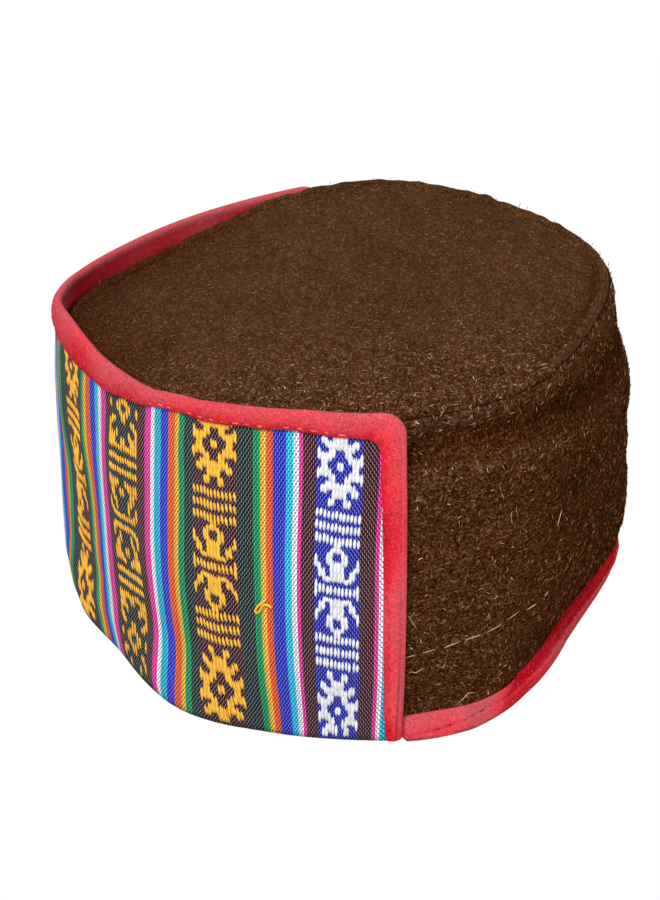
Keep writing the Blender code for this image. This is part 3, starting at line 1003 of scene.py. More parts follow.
def figureFloats():
    # every float as (inset of its middle, first row, last row, is it white, is it round a bare
    # figure, is it a thinner one between two columns, does its run go on above, does it go on
    # below). Long runs are cut in short floats. On the green ground the figures are left bare and
    # the yarn fills the field
    period = figurePeriod()
    floats = []
    firstRow, endRow = figureLook["rows"]
    for name, start, end in zip(stripeNames, [0.0, *stripeEnds], stripeEnds):
        if not name.endswith("Ground") or end > bandWidth / mm - 1.0:
            continue
        reverse = name == "greenGround"
        pitch = figureLook["columnPitch"] * (end - start) / figureLook["groundWidth"]
        for half in range(0, 23, 2 if reverse else 1):
            across = (start + end) / 2 + (half / 2 - 5.5) * pitch
            filled = period[:, half // 2] & period[:, (half + 1) // 2]
            if half % 2:
                filled = filled & ~period.all(1)
            if reverse:
                filled = ~filled
            begun, goesOn = None, False
            for row in range(firstRow, endRow + 1):
                mark = row < endRow and bool(filled[row % len(period)])
                if mark and begun is None:
                    begun, goesOn = row, False
                cut = begun is not None and row - begun >= figureLook["longest"] + (half + begun) % 2 - 1
                if begun is not None and (not mark or cut):
                    kind = (name == "blueGround", reverse, half % 2, goesOn, mark)
                    floats.append((across, begun, row - 1, *kind))
                    begun, goesOn = (row, True) if mark else (None, False)
    return np.array(floats, float)


def makeFigures():
    # pointed lozenges, plump across, lying a little proud of the band
    rng = np.random.default_rng(61)
    across, firstRow, lastRow, isWhite, isReverse, isThin, above, below = figureFloats().T
    tip = np.where(isReverse > 0.5, *figureLook["tip"])
    before, after = (
        np.where(on > 0.5, figureLook["overlap"], tip + rng.uniform(-0.25, 0.2, len(on)))
        for on in (above, below)
    )
    shift = np.interp(across, figureLook["bowAt"], figureLook["bow"]) + rng.normal(0, 0.06, len(across))
    first = underTop(across, figureDepth(firstRow - 0.5 - before) + shift)
    last = underTop(across, figureDepth(lastRow + 0.5 + after) + shift)
    first = np.maximum(first, figureLook["highest"])
    stations = np.array([0.0, 0.22, 0.5, 0.78, 1.0])
    depth = first[:, None] + (last - first)[:, None] * stations
    keep = (last - first > 1.0) & (depth[:, -1] < bandDepth / mm - 0.3)
    depth, across, isWhite, isThin = depth[keep] * mm, across[keep], isWhite[keep], isThin[keep, None]
    across = across[:, None] + rng.normal(0, 0.05, (len(across), 1))
    across = across + (stations - 0.5) * np.where(isWhite > 0.5, *figureLook["lean"])[:, None]
    inset = clothToInset(across, depth)
    keep = (inset.min(1) > 3 * mm) & (inset.max(1) < bandWidth - 3 * mm)
    inset, depth, isWhite, isThin = inset[keep], depth[keep], isWhite[keep, None], isThin[keep]
    off = bandStandoff + capShape["bandCloth"] + 0.05 * mm
    paths = bandPoint(1, inset, depth, off)
    up = unit(bandPoint(1, inset, depth, off + mm) - paths)
    sideways = unit(bandPoint(1, inset + mm, depth, off) - paths)
    paths = paths + up * bandRipple(inset, depth, paths)[..., None]
    paths[:, [0, -1]] -= up[:, [0, -1]] * 0.1 * mm
    fullness = np.array([0.0, 0.66, 1.0, 0.66, 0.0])
    size = rng.uniform(0.88, 1.06, (len(paths), 1)) * (1 - figureLook["thinner"] * isThin) * fullness * mm
    middle, edge = (
        np.where(isWhite > 0.5, figureLook["white"][k], figureLook["yellow"][k]) for k in (0, 1)
    )
    # painted shade: thinner floats, which lie lower, are a little darker
    middle = middle * rng.uniform(0.84, 1.06, (len(middle), 1)) * (1 - 0.14 * isThin)
    sides = 6
    # painted highlight on each float's crest, painted shade at its edge, and painted light and shade from
    # its top to its foot
    crest = smooth((np.sin(2 * np.pi * (np.arange(sides) + 0.5) / sides) + 0.2) / 1.1)
    rings = edge[:, None] + (middle - edge)[:, None] * crest[None, :, None]
    tint = np.repeat(figureLook["endLightAndShade"], (1, sides, sides, sides, 1))[:, None]
    colour = np.hstack([edge[:, None], np.tile(rings, (1, 3, 1)), edge[:, None]]) * tint
    widths, heights = figureLook["width"] * size, figureLook["height"] * size
    piece = threadPiece("bandFigures", paths, sideways, up, widths, heights, figureYarn, colour, sides)
    return piece


bandFigures = makeFigures()
print("figures made")


# Red tape folded over the band's top edge and its two ends

edgingLook = {
    "endRows": 64,
    "cornerRows": 14,
    "topRows": 110,
    "fold": 1.2 * mm,  # how far the fold stands beyond the cloth's edge
    "foldStart": 0.6 * mm,
    "puff": 0.3 * mm,
    "scallop": 0.22 * mm,
    "stitchPitch": 3.7 * mm,
    "stitchInset": 1.2 * mm,  # from the tape's inner edge
    "stitchDent": 0.3 * mm,
    "hole": 0.19,  # share of the pitch at which the thread goes down
    # how much narrower the end tape is towards the foot, in millimetres by depth
    "narrowDepth": (14, 40, 77, 90, 102),
    "narrow": (0.0, -0.5, -1.0, -1.5, -2.4),
    "innerCorner": 4.6 * mm,  # radius of the tape's inner edge there
    "thinFold": 0.3 * mm,  # from the cloth to the face of the tape behind it, near the fold
    "farLeft": (-190, -160, 25),  # millimetres of its length before the near foot
    "topFace": (bandDepth, bandDepth + 75 * mm, 3 * mm, 20 * mm),  # length from the near foot
    # lower edge of the tape on the face, in millimetres under a level top, by inset
    "edgeInset": (
        5, 11, 13, 17, 21, 24, 28, 32, 37, 41, 45, 50, 55, 60, 65, 71, 78, 85, 92, 100, 104, 115, 130,
    ),
    "edgeDepth": (
        5.6, 5.4, 5.2, 5.0, 4.3, 4.0, 3.7, 3.9, 4.4, 4.2, 4.7, 5.0, 5.2, 4.7, 5.0, 5.4, 7.0, 7.3, 7.9,
        7.7, 7.2, 7.1, 6.4,
    ),
}


def tapeDepth(end, inset):
    # depth of the lower edge of the tape along the top
    if not end:
        return capShape["topTape"] + 0 * inset
    level = np.interp(inset / mm, edgingLook["edgeInset"], edgingLook["edgeDepth"])
    return underTop(inset / mm, level) * mm


def edgeStations(end):
    # the band's edge from the foot of an end to the middle of the top: cloth edge, tape's inner
    # edge, direction out of the cloth, and length run so far
    corner, bend = capShape["cornerRadius"], edgingLook["innerCorner"]
    lowest = bandDepth - 0.9 * mm
    foot = np.linspace(lowest, corner, edgingLook["endRows"], endpoint=False)
    foot = np.insert(foot, 1, lowest - 0.2 * mm)
    turn = np.radians(np.linspace(0, 90, edgingLook["cornerRows"]))
    span = np.linspace(corner, bandWidth / 2, edgingLook["topRows"] + 1)[1:]
    cos, sin = np.cos(turn), np.sin(turn)

    def line(*parts):
        return np.concatenate([np.stack(np.broadcast_arrays(*part), 1) for part in parts])

    edge = line((0.0, foot), (corner * (1 - cos), corner * (1 - sin)), (span, 0.0))
    out = line((-1.0, 0 * foot), (-cos, -sin), (0 * span, -1.0))
    narrow = np.interp(foot / mm, edgingLook["narrowDepth"], edgingLook["narrow"]) * mm
    side = capShape["endTape"]
    cornerDepth = tapeDepth(end, np.array([side + bend]))
    # the end tape's own inner edge starts below the bend, the top tape's beyond it
    low, far = cornerDepth + bend, side + bend
    footLow = low + (foot - corner) * (bandDepth - low) / (bandDepth - corner)
    spanFar = far + (span - corner) * (bandWidth / 2 - far) / (bandWidth / 2 - corner)
    inner = line(
        (side + narrow, footLow),
        (side + bend * (1 - cos), cornerDepth + bend * (1 - sin)),
        (spanFar, tapeDepth(end, spanFar)),
    )
    return edge, inner, out, lengthRun((edge + inner) / 2)


def edgingSection():
    # round the folded tape: share 0 is its inner edge and 1 the cloth's edge, beyond is past that
    # edge, off is the distance from the cloth's middle, and wear is 0 inside to 1 on the fold
    face = capShape["bandCloth"] / 2
    bore = face + capShape["gap"]
    half = bore + capShape["tape"]
    rows = [(0.0, 0.0, bore, 0.0), (-0.02, 0.0, bore + 0.35 * capShape["tape"], 0.05)]
    rows += [(0.02, 0.0, half - 0.18 * mm, 0.1), (0.09, 0.0, half + 0.02 * mm, 0.1)]
    for share in (0.16, 0.22, 0.28, 0.38, 0.5, 0.62, 0.74, 0.86):
        rows.append((share, 0.0, half + edgingLook["puff"] * np.sin(np.pi * share), 0.15 + 0.5 * share))
    back = face + edgingLook["thinFold"]
    start = edgingLook["foldStart"]
    for turn in np.radians(np.arange(0, 181, 22.5)):
        beyond = (edgingLook["fold"] + start) * np.sin(turn) - start
        wear = 0.65 + 0.4 * np.sin(turn / 2) ** 2
        rows.append((1.0, beyond, (half - back) / 2 + (half + back) / 2 * np.cos(turn), wear))
    # behind the cloth the tape is wider, down to a share under 0
    for share, past in ((0.7, 0.0), (0.4, 0.3), (0.1, 0.6), (-0.2, 0.8), (-0.5, 0.9)):
        rows.append((share, 0.0, -back - (half - back) * past * 0.3, 0.25))
    rows += [(-0.55, 0.0, 0.1 * mm - back, 0.2), (-0.5, 0.0, -0.05 * mm - face, 0.0)]
    rows += [(1.0, 0.15 * mm, -0.05 * mm - face, 0.0), (1.0, 0.15 * mm, bore, 0.0)]
    return np.array(rows).T


def stitchPull(run):
    # 1 where a stitch of the edging goes down and 0 half a stitch away, by length in millimetres
    turns = run / (edgingLook["stitchPitch"] / mm) - edgingLook["hole"]
    return 0.5 + 0.5 * np.cos(2 * np.pi * turns)


def edgingHalf(end):
    edge, inner, out, run = edgeStations(end)
    share, beyond, off, wear = edgingSection()
    toEdge = edge - inner
    length = np.linalg.norm(toEdge, axis=1, keepdims=True)
    scallop = edgingLook["scallop"] * (np.abs(np.sin(np.pi * run / edgingLook["stitchPitch"])) - 0.5)
    inner = inner - toEdge / length * scallop[:, None]
    spot = inner[:, None] + (edge - inner)[:, None] * share[:, None] + out[:, None] * beyond[:, None]
    dent = edgingLook["stitchDent"] * bell(share * length, edgingLook["stitchInset"], 0.5 * mm)
    wrinkle = 0.10 * mm * lumpsAlong(run, 5 * mm, 71 + end)[:, None] * np.sin(np.pi * np.clip(share, 0, 1))
    rise = (wrinkle - dent * stitchPull(run / mm)[:, None]) * (off > 1.5 * mm)
    middle = bandStandoff + capShape["bandCloth"] / 2
    points = bandPoint(end, spot[..., 0], spot[..., 1], middle + off + rise)
    across = (np.where(off > 0, share, 2 - share) * length + beyond) / mm
    return points, run / mm, across, wear


def makeEdging():
    far, farRun, farAcross, wear = edgingHalf(0)
    near, nearRun, nearAcross, _ = edgingHalf(1)
    points = np.concatenate([far, near[-2::-1]])
    whole = 2 * farRun[-1]
    run = np.concatenate([farRun, whole - nearRun[-2::-1]])
    across = closedUp(np.concatenate([farAcross, nearAcross[-2::-1]]), False)
    worn = np.append(wear, wear[0]) + 0.16 * lumpsAlong(run, 23.0, 72)[:, None]
    hole = stitchPull(np.minimum(run, whole - run))[:, None] ** 4
    line = bell(across, edgingLook["stitchInset"] / mm, 0.35)
    # painted shade: deeper red in the dimples of the stitches, and deeper and darker on the far left of the
    # front; painted light makes the near end brighter
    left = between(run - whole, *edgingLook["farLeft"])[:, None]
    deepRedAndShade = 0.5 - worn + 0.75 * hole * line + 0.4 * left
    bright = 0.9 - 0.14 * left + 0.22 * smooth((run - whole + 108) / 16)[:, None]
    colour = np.clip(np.stack(np.broadcast_arrays(worn, deepRedAndShade, bright), -1), 0, 1.2)
    # the cut ends are closed by drawing each end section in to its middle
    run, across, colour = (np.concatenate([grid[:1], grid, grid[-1:]]) for grid in (run, across, colour))
    ends = points[[0, -1]].mean(1, keepdims=True) + 0 * points[:2]
    points = np.concatenate([ends[:1], points, ends[1:]])
    piece = gridPiece("bandEdging", points, redTape, False, run, across, colour)
    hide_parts("band_binding")
    return piece


bandEdging = makeEdging()
print("band edging made")


# Red tape folded round the foot

hemLook = {
    "columns": 560,
    "girth": 575,
    "puff": 0.25 * mm,
    "bearing": (0, 60, 91, 99, 107, 112, 118, 130, 145, 160, 172, 200, 300, 360),
    "height": (8, 8, 7.0, 7.2, 7.0, 7.4, 8.0, 8.6, 9.0, 10.2, 10.4, 8.0, 8, 8),
    "stitchBearing": (90, 93, 98, 104, 110, 116, 130, 176, 200, 262),
    "stitchHeight": (1.7, 1.9, 2.6, 4.0, 4.9, 5.2, 4.6, 4.4, 2.6, 2.6),
    "turned": (112.0, 178.0, 7.0),  # bearings between which the tape's upper part turns in, and ease
    "shares": (1.0, 0.985, *np.arange(0.95, 0.58, -0.05), *np.arange(0.56, 0.14, -0.04)),  # of its height
}


def hemTop(bearing):
    # height of the tape's upper edge outside
    return np.interp(np.mod(bearing, 360), hemLook["bearing"], hemLook["height"]) * mm


def hemStitchHeight(bearing):
    return np.interp(np.mod(bearing, 360), hemLook["stitchBearing"], hemLook["stitchHeight"]) * mm


def hemSection(bearing):
    # down outside, under the foot, up inside and back along the bore: each row's distance from the
    # cloth's middle, height and wear
    inner = capShape["wool"] / 2 + capShape["gap"]
    half, tape, inside = inner + capShape["tape"], capShape["tape"], capShape["hemHeight"]
    top = hemTop(bearing)
    rows = [(inner, top * 0.985, 0.3)]
    wrinkle = 0.16 * mm * lumpsAlong(bearing, 3.3, 81)
    turned = between(bearing, *hemLook["turned"])
    pucker = 0.75 + 0.25 * np.sin(2 * np.pi * bearing / 1.9 + lumpsAlong(bearing, 6.0, 83))
    for share in hemLook["shares"]:
        past = share * top - hemStitchHeight(bearing)
        dent = -0.38 * mm * bell(past, 0.0, 0.45 * mm) * pucker
        fold = 0.35 * mm * bell(past, -0.9 * mm, 0.6 * mm) - 1.3 * mm * smooth(past / (1.0 * mm) + 0.4)
        rise = (hemLook["puff"] + wrinkle) * np.sin(np.pi * share) + dent + turned * fold
        lip = -0.45 * mm if share == 1.0 else 0.0
        rows.append((half + rise + lip, share * top, 0.25 + 0.5 * share))
    rows += [(half, 1.1 * mm, 0.7), (half - 0.25 * mm, 0.4 * mm, 0.7), (half - 0.7 * mm, 0.0, 0.5)]
    rows += [(0.7 * mm - half, 0.0, 0.3), (0.25 * mm - half, 0.4 * mm, 0.3)]
    rows += [(-half, height, 0.2) for height in (1.1 * mm, 4 * mm, inside)]
    rows += [(-inner, inside, 0.0), (-inner, tape, 0.0), (inner, tape, 0.0)]
    return (np.hstack([row[k] + 0 * bearing for row in rows]) for k in range(3))


def makeHem():
    # a closed section for each bearing
    bearing = ring(hemLook["columns"])
    off, height, wear = hemSection(bearing)
    wall = woolRadius(bearing, height)
    relief = wallRelief(bearing, height, place(bearing, wall, height)) * (off > 0)
    points = place(bearing, wall + relief - capShape["wool"] / 2 + off, height)
    over = lengthRun(np.stack([off[0], height[0]], 1)) / mm
    run = np.arange(len(bearing) + 1) * hemLook["girth"] / len(bearing)
    across = np.append(over, over[-1] + 1) + 0 * run[:, None]
    worn = closedUp(wear, True) + 0.3 * lumpsAlong(run, 19.0, 82)[:, None]
    at = run[:, None] / hemLook["girth"] * 360
    above = closedUp(height, True) - hemStitchHeight(at)
    outer = np.append(off[0], 1) > 0
    # painted shade: the turned-in upper part of the tape and the crease along its stitches are deeper red,
    # the turned-in part's brightness raised a little
    turned = between(at, *hemLook["turned"]) * smooth(above / (0.8 * mm) + 0.3) * outer
    deepRedAndShade = 0.4 - worn + 1.6 * turned + 0.6 * bell(above, 0.0, 0.35 * mm) * outer
    colour = np.clip(np.stack([worn - turned, deepRedAndShade, 1 + 0.14 * turned], -1), 0, 1.2)
    piece = gridPiece("hemEdging", points, redTape, True, run, across, colour)
    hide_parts("hem_binding")
    return piece


hemEdging = makeHem()
print("hem edging made")


# Stitches

stitchLook = {
    "length": 3.1 * mm,
    "width": 0.5 * mm,
    "height": 0.4 * mm,
    "hemLength": 2.4 * mm,
    "light": linear(252, 116, 108),
    "dull": linear(216, 44, 56),
    "hem": linear(150, 22, 34),
    "pale": linear(214, 186, 152),
}


def dashes(points, out, starts, ends):
    # short threads along a line of points, each from one length along it to another
    run = lengthRun(points)
    at = starts[:, None] + (ends - starts)[:, None] * np.linspace(0, 1, 5)
    path, face = (np.stack([np.interp(at, run, v[:, k]) for k in range(3)], -1) for v in (points, out))
    face = unit(face)
    return path, np.cross(unit(np.gradient(path, axis=1)), face), face


def dashStarts(points):
    pitch = edgingLook["stitchPitch"]
    return np.arange(1.0 * mm, lengthRun(points)[-1] - pitch, pitch)


def stitchPiece(name, lines, colour, width, height, sink, seed):
    # lines: (points, outward directions, starts, ends) for each row of stitches
    path, sideways, face = (np.concatenate(part) for part in zip(*(dashes(*line) for line in lines)))
    path[:, [0, -1]] -= face[:, [0, -1]] * sink
    rng = np.random.default_rng(seed)
    size = rng.uniform(0.85, 1.1, (len(path), 1)) * np.sin(np.pi * np.linspace(0, 1, path.shape[1])) ** 0.5
    colour = colour * rng.uniform(0.85, 1.1, (len(path), 1))
    return threadPiece(name, path, sideways, face, width * size, height * size, sewingThread, colour, 5)


def edgingStitches():
    lines, colours = [], []
    off = bandStandoff + capShape["bandCloth"] + capShape["gap"] + capShape["tape"] - 0.02 * mm
    for end in (0, 1):
        edge, inner, _, _ = edgeStations(end)
        spot = inner + unit(edge - inner) * edgingLook["stitchInset"]
        points = bandPoint(end, spot[:, 0], spot[:, 1], off)
        outwards = bandPoint(end, spot[:, 0], spot[:, 1], off + mm) - points
        starts = dashStarts(points)
        lines.append((points, outwards, starts, starts + stitchLook["length"]))
        # the thread shows light only along the top, near its near corner
        light = end * between(starts, *edgingLook["topFace"])
        colours.append(stitchLook["dull"] + (stitchLook["light"] - stitchLook["dull"]) * light[:, None])
    width, height = stitchLook["width"], stitchLook["height"]
    piece = stitchPiece("edgingStitches", lines, np.concatenate(colours), width, height, 0.25 * mm, 91)
    return piece


def hemStitches():
    bearing = np.linspace(capShape["nearEnd"] + 1, 360 + capShape["farEnd"] - 1, 400)
    height = hemStitchHeight(bearing)
    radius = woolRadius(bearing, height) + capShape["gap"] + capShape["tape"] - 0.1 * mm
    points = place(bearing, radius, height)
    starts = dashStarts(points)
    lines = [(points, outward(bearing, height), starts, starts + stitchLook["hemLength"])]
    piece = stitchPiece("hemStitches", lines, stitchLook["hem"], 0.3 * mm, 0.2 * mm, 0.2 * mm, 92)
    return piece


bandStitching = edgingStitches()
hemStitching = hemStitches()

paleRuns = (  # running stitch on the wall: bearing and height in millimetres at both ends of each
    (91.8, 27.0, 94.4, 27.8), (95.0, 28.0, 98.4, 28.5), (99.2, 28.0, 103.0, 29.0),
    (103.4, 29.0, 107.2, 29.6), (107.6, 29.6, 111.6, 31.0), (112.2, 31.3, 115.8, 32.2),
    (117.0, 31.4, 119.8, 32.2), (121.6, 33.2, 123.0, 34.0),
)


def paleStitches():
    lines = []
    for startBearing, startHeight, endBearing, endHeight in paleRuns:
        bearing = np.linspace(startBearing, endBearing, 8)
        height = np.linspace(startHeight, endHeight, 8) * mm
        points = place(bearing, wallGround(bearing, height) + 0.12 * mm, height)
        lines.append((points, outward(bearing, height), np.zeros(1), lengthRun(points)[-1:]))
    piece = stitchPiece("paleStitches", lines, stitchLook["pale"], 0.24 * mm, 0.24 * mm, 0.1 * mm, 93)
    return piece


paleStitching = paleStitches()
print("stitches made")


# Wool fibres: short bent hairs all over the cloth that shows

fibreLook = {
    "discCount": 15000,
    "wallCount": 15000,
    "length": (1.0 * mm, 2.8 * mm),
    "thickness": (0.14 * mm, 0.26 * mm),
    "colours": (
        linear(52, 23, 3), linear(104, 66, 35), linear(138, 98, 61), linear(168, 130, 90),
        linear(208, 178, 140),
    ),
    "shares": (0.38, 0.22, 0.24, 0.14, 0.02),
    # degrees that the hairs of one row lean, those of the next row leaning the other way, the share
    # of hairs that lie anyhow, and how high they stand
    "discNap": (24.0, 0.45, 0.45 * mm),
    "wallNap": (50.0, 0.35, 0.26 * mm),
    "slopeSpread": 28.0,
    # painted light: the hairs of the disc and of the wall are brightened by different amounts
    "brightness": (1.25, 1.4),  # on the disc and on the wall
    "back": (120, 330, 20),
}


def fibrePiece(name, start, normal, tangent, binormal, row, nap, tint, plain, seed):
    # each hair leaves the cloth, bends over sideways and comes back to it
    rng = np.random.default_rng(seed)
    count = len(start)
    slope, loose, stand = nap
    lean = np.where(np.mod(row, 2) < 1, 1, -1) * slope + rng.normal(0, fibreLook["slopeSpread"], count)
    heading = np.where(rng.uniform(size=count) < loose, rng.uniform(0, 2 * np.pi, count), np.radians(lean))
    bend = rng.normal(0, 0.9, count)
    length = rng.uniform(*fibreLook["length"], count)
    rise = stand * rng.uniform(0.2, 1.0, count) ** 1.5
    share = np.array([0.0, 0.33, 0.67, 1.0])
    turn = heading[:, None] + bend[:, None] * (share - 0.5)
    step = np.cos(turn)[..., None] * tangent[:, None] + np.sin(turn)[..., None] * binormal[:, None]
    forward = (np.cumsum(step, 1) - step[:, :1]) * (length / 3)[:, None, None]
    lift = rise[:, None] * np.sin(np.pi * (0.08 + 0.84 * share)) - 0.08 * mm
    paths = start[:, None] + forward + normal[:, None] * lift[..., None]
    side = unit(np.cross(step, normal[:, None]))
    up = np.broadcast_to(normal[:, None], paths.shape)
    thick = rng.uniform(*fibreLook["thickness"], (count, 1)) * np.array([0.0, 1.0, 0.9, 0.0])
    kind = rng.choice(len(fibreLook["shares"]), count, p=fibreLook["shares"])
    colour = np.array(fibreLook["colours"])[kind] * rng.uniform(0.8, 1.15, (count, 1))
    colour = (colour + (woolLook["plain"] - colour) * plain) * tint
    piece = threadPiece(name, paths, side, up, thick, thick, woolFibre, colour, 3)
    return piece


def discFibres():
    rng = np.random.default_rng(101)
    bearing = rng.uniform(0, 360, fibreLook["discCount"])
    radius = wallRadius(bearing, rimHeight(bearing)) - seamInset(bearing)
    # they reach nearly to the rim, a little less far behind
    reach = 0.985 - 0.03 * between(bearing, *fibreLook["back"])
    inward = radius * (1 - np.sqrt(rng.uniform(0.0, reach, len(bearing))))
    at = place(bearing, radius - inward, discHeight(bearing, inward))
    at[:, 2] += discRelief(bearing, inward, at)
    step = 0.3 * mm
    slope = (discHeight(bearing, inward + step) - discHeight(bearing, inward)) / step
    turn = np.radians(bearing)
    inwards = unit(np.stack([-np.sin(turn), np.cos(turn), slope], 1))
    beside = np.stack([np.cos(turn), np.sin(turn), 0 * turn], 1)
    normal = np.cross(inwards, beside)
    normal *= np.sign(normal[:, 2:])
    ahead = unit(np.array([1.0, 0.0, 0.0]) - normal * normal[:, :1])
    row = np.floor(at[:, 1] / woolLook["rowPitch"])
    # painted light and shade: the hairs carry the disc's painted shade and are lighter at the near side, and
    # are rubbed plainer away from it
    side = at[:, :1]
    tint = fibreLook["brightness"][0] * paintedShadeTint(discShade(bearing, inward))
    tint = tint * (1 + 0.3 * smooth((side - 0.055) / 0.03))
    plain = 0.6 * smooth((0.075 - side) / 0.06)
    beside, nap = np.cross(normal, ahead), fibreLook["discNap"]
    return fibrePiece("crownFuzz", at, normal, ahead, beside, row, nap, tint, plain, 102)


def wallFibres():
    rng = np.random.default_rng(103)
    count = fibreLook["wallCount"]
    bearing = rng.uniform(capShape["nearEnd"] - 1.5, 360 + capShape["farEnd"] + 1.5, count)
    low, rim = hemTop(bearing) - 1.0 * mm, rimHeight(bearing)
    height = low + (rim - 1.0 * mm - low) * rng.uniform(0, 1, count)
    at = place(bearing, wallGround(bearing, height), height)
    normal = outward(bearing, height)
    upward = np.array([0.0, 0.0, 1.0]) + 0 * normal
    row = np.floor((rim - height) / woolLook["rowPitch"])
    # the hairs carry the wall's painted light and shade
    tint = fibreLook["brightness"][1] * paintedShadeTint(wallShade(bearing, height))
    beside, nap = np.cross(normal, upward), fibreLook["wallNap"]
    return fibrePiece("wallFuzz", at, normal, beside, upward, row, nap, tint, 0.0, 104)


crownFuzz = discFibres()
wallFuzz = wallFibres()
print("fibres made")


# Stray threads: short pale hairs on the wall, and a yellow loop on the band

strayLook = {
    # bearing and height in millimetres of the knots of each hair
    "hairs": (
        ((101.2, 7.5), (103.0, 8.6), (104.2, 10.2), (105.0, 9.9), (106.0, 9.5)),
        ((125.2, 53.5), (125.9, 55.0), (126.4, 56.4), (127.0, 57.4), (127.5, 58.5)),
        ((92.6, 42.0), (93.2, 40.6), (93.7, 38.8), (94.2, 37.4), (94.6, 35.6)),
        ((92.4, 21.8), (93.4, 22.2), (94.2, 21.6), (95.0, 22.4), (96.0, 23.2)),
    ),
    "hairThickness": 0.22 * mm,
    # the loop's knots in millimetres from the near end and below the top
    "loopInset": (34.2, 35.2, 36.6, 37.5, 37.1, 36.2, 35.6, 34.6, 33.4, 32.8),
    "loopDepth": (54.0, 55.2, 56.6, 58.6, 59.6, 58.4, 56.8, 55.8, 56.2, 57.0),
    "loopPoints": 22,
    "loopThickness": 0.8 * mm,
    "loopColour": linear(242, 186, 64),
}


def looseThread(name, paths, normal, thick, material, colour, sides):
    side = unit(np.cross(np.gradient(paths, axis=1), normal))
    return threadPiece(name, paths, side, normal, thick, thick, material, colour, sides)


def strayThreads():
    bearing, height = np.moveaxis(np.array(strayLook["hairs"]), -1, 0)
    height = height * mm
    paths = place(bearing, wallGround(bearing, height) + 0.35 * mm, height)
    thick = strayLook["hairThickness"] * np.array([0.0, 1.0, 1.0, 0.9, 0.0]) * np.ones((len(paths), 1))
    colour = np.tile(stitchLook["pale"], (len(paths), 1))
    normal = outward(bearing, height)
    piece = looseThread("strayHairs", paths, normal, thick, sewingThread, colour, 4)
    return piece


def yellowLoop():
    # a pulled thread lying on the band: out of the cloth, round in a small loop and in again
    count = strayLook["loopPoints"]
    knots = np.arange(len(strayLook["loopInset"]))
    spots = np.linspace(0, knots[-1], count)
    inset, depth = (np.interp(spots, knots, strayLook[name]) * mm for name in ("loopInset", "loopDepth"))
    off = bandStandoff + capShape["bandCloth"] + (0.3 + 0.25 * np.sin(spots)) * mm
    paths = bandPoint(1, inset, depth, off)[None]
    normal = unit(bandPoint(1, inset, depth, off + mm)[None] - paths)
    thick = np.full((1, count), strayLook["loopThickness"])
    thick[:, [0, -1]] = 0
    colour = strayLook["loopColour"][None]
    piece = looseThread("pulledThread", paths, normal, thick, figureYarn, colour, 6)
    return piece


strayHairs = strayThreads()
pulledThread = yellowLoop()
print("stray threads made")


# Floor, light and camera

studio = {
    "floorSize": 3.0,
    "floor": (0.5, 0.5, 0.5),
    "floorGlow": 1.0,  # share of the floor that the camera sees as plain white
    "surround": 0.58,
    "keyPower": 22.0,
    "keySize": 0.7,
    "keyAt": (0.95, -0.42, 1.3),
    "keyTarget": (0.0, 0.0, 0.05),
}


def cameraShare(tree):
    return Term(tree, tree.nodes.new("ShaderNodeLightPath").outputs["Is Camera Ray"])


def makeFloor():
    # a pale floor that casts its light back, and looks nearly white from the camera
    material = bpy.data.materials.new("paleFloor")
    material.use_nodes = True
    tree = material.node_tree
    shader = tree.nodes["Principled BSDF"]
    shader.inputs["Base Color"].default_value = (*studio["floor"], 1.0)
    shader.inputs["Roughness"].default_value = 0.9
    glow = tree.nodes.new("ShaderNodeEmission")
    mix = tree.nodes.new("ShaderNodeMixShader")
    feed(mix.inputs[0], cameraShare(tree) * studio["floorGlow"])
    tree.links.new(shader.outputs[0], mix.inputs[1])
    tree.links.new(glow.outputs[0], mix.inputs[2])
    tree.links.new(mix.outputs[0], tree.nodes["Material Output"].inputs["Surface"])
    half = studio["floorSize"] / 2
    corners = np.array([(-half, -half, 0), (half, -half, 0), (half, half, 0), (-half, half, 0)], float)
    mesh = fillMesh("floor", corners, [np.array([[0, 1, 2, 3]])])
    mesh.materials.append(material)
    floor = bpy.data.objects.new("floor", mesh)
    floor.location = (0.0, 0.0, -0.0004)
    bpy.context.scene.collection.objects.link(floor)


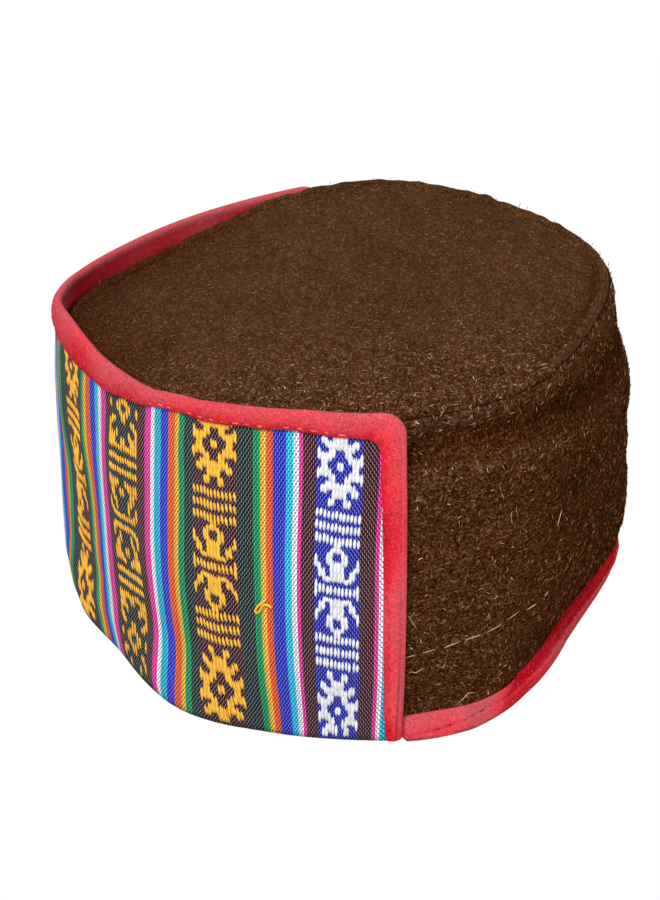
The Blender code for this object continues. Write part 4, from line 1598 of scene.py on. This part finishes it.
def makeKey():
    data = bpy.data.lights.new("key", "AREA")
    data.shape = "DISK"
    data.size = studio["keySize"]
    data.energy = studio["keyPower"]
    light = bpy.data.objects.new("key", data)
    light.location = studio["keyAt"]
    towards = Vector(studio["keyTarget"]) - Vector(studio["keyAt"])
    light.rotation_euler = towards.to_track_quat("-Z", "Y").to_euler()
    bpy.context.scene.collection.objects.link(light)


def makeSurround():
    world = bpy.data.worlds.new("paleSurround")
    world.use_nodes = True
    tree = world.node_tree
    tree.nodes["Background"].inputs["Color"].default_value = (1.0, 1.0, 1.0, 1.0)
    strength = cameraShare(tree) * (1.0 - studio["surround"]) + studio["surround"]
    feed(tree.nodes["Background"].inputs["Strength"], strength)
    bpy.context.scene.world = world
    bpy.context.scene.view_settings.view_transform = "Standard"


cameraLook = {
    "azimuth": 83.0,
    "elevation": 29.0,
    "roll": -2.215,
    "distance": 0.49404,
    "target": (11.274 * mm, -8.294 * mm, 45.99 * mm),
    "focal": 1518.7,  # in pixels of the 660 by 900 frame
    "centre": (327.35, 463.53),
    "frame": (660, 900),
    "sensor": 36.0,
}


def makeCamera():
    azimuth, elevation, roll = (np.radians(cameraLook[k]) for k in ("azimuth", "elevation", "roll"))
    back = np.array([
        np.sin(azimuth) * np.cos(elevation), -np.cos(azimuth) * np.cos(elevation), np.sin(elevation),
    ])
    right = np.array([np.cos(azimuth), np.sin(azimuth), 0.0])
    up = np.cross(back, right)
    right, up = right * np.cos(roll) + up * np.sin(roll), up * np.cos(roll) - right * np.sin(roll)
    at = np.array(cameraLook["target"]) + back * cameraLook["distance"]
    turned = Matrix([[right[k], up[k], back[k], at[k]] for k in range(3)] + [[0, 0, 0, 1]])
    data = bpy.data.cameras.new("camera")
    width, height = cameraLook["frame"]
    data.sensor_width = cameraLook["sensor"]
    data.lens = cameraLook["focal"] * cameraLook["sensor"] / max(width, height)
    data.shift_x = (width / 2 - cameraLook["centre"][0]) / max(width, height)
    data.shift_y = (cameraLook["centre"][1] - height / 2) / max(width, height)
    data.clip_start = 0.01
    camera = bpy.data.objects.new("camera", data)
    camera.matrix_world = turned
    bpy.context.scene.collection.objects.link(camera)
    bpy.context.scene.camera = camera


makeFloor()
makeSurround()
makeKey()
makeCamera()
print("studio made")
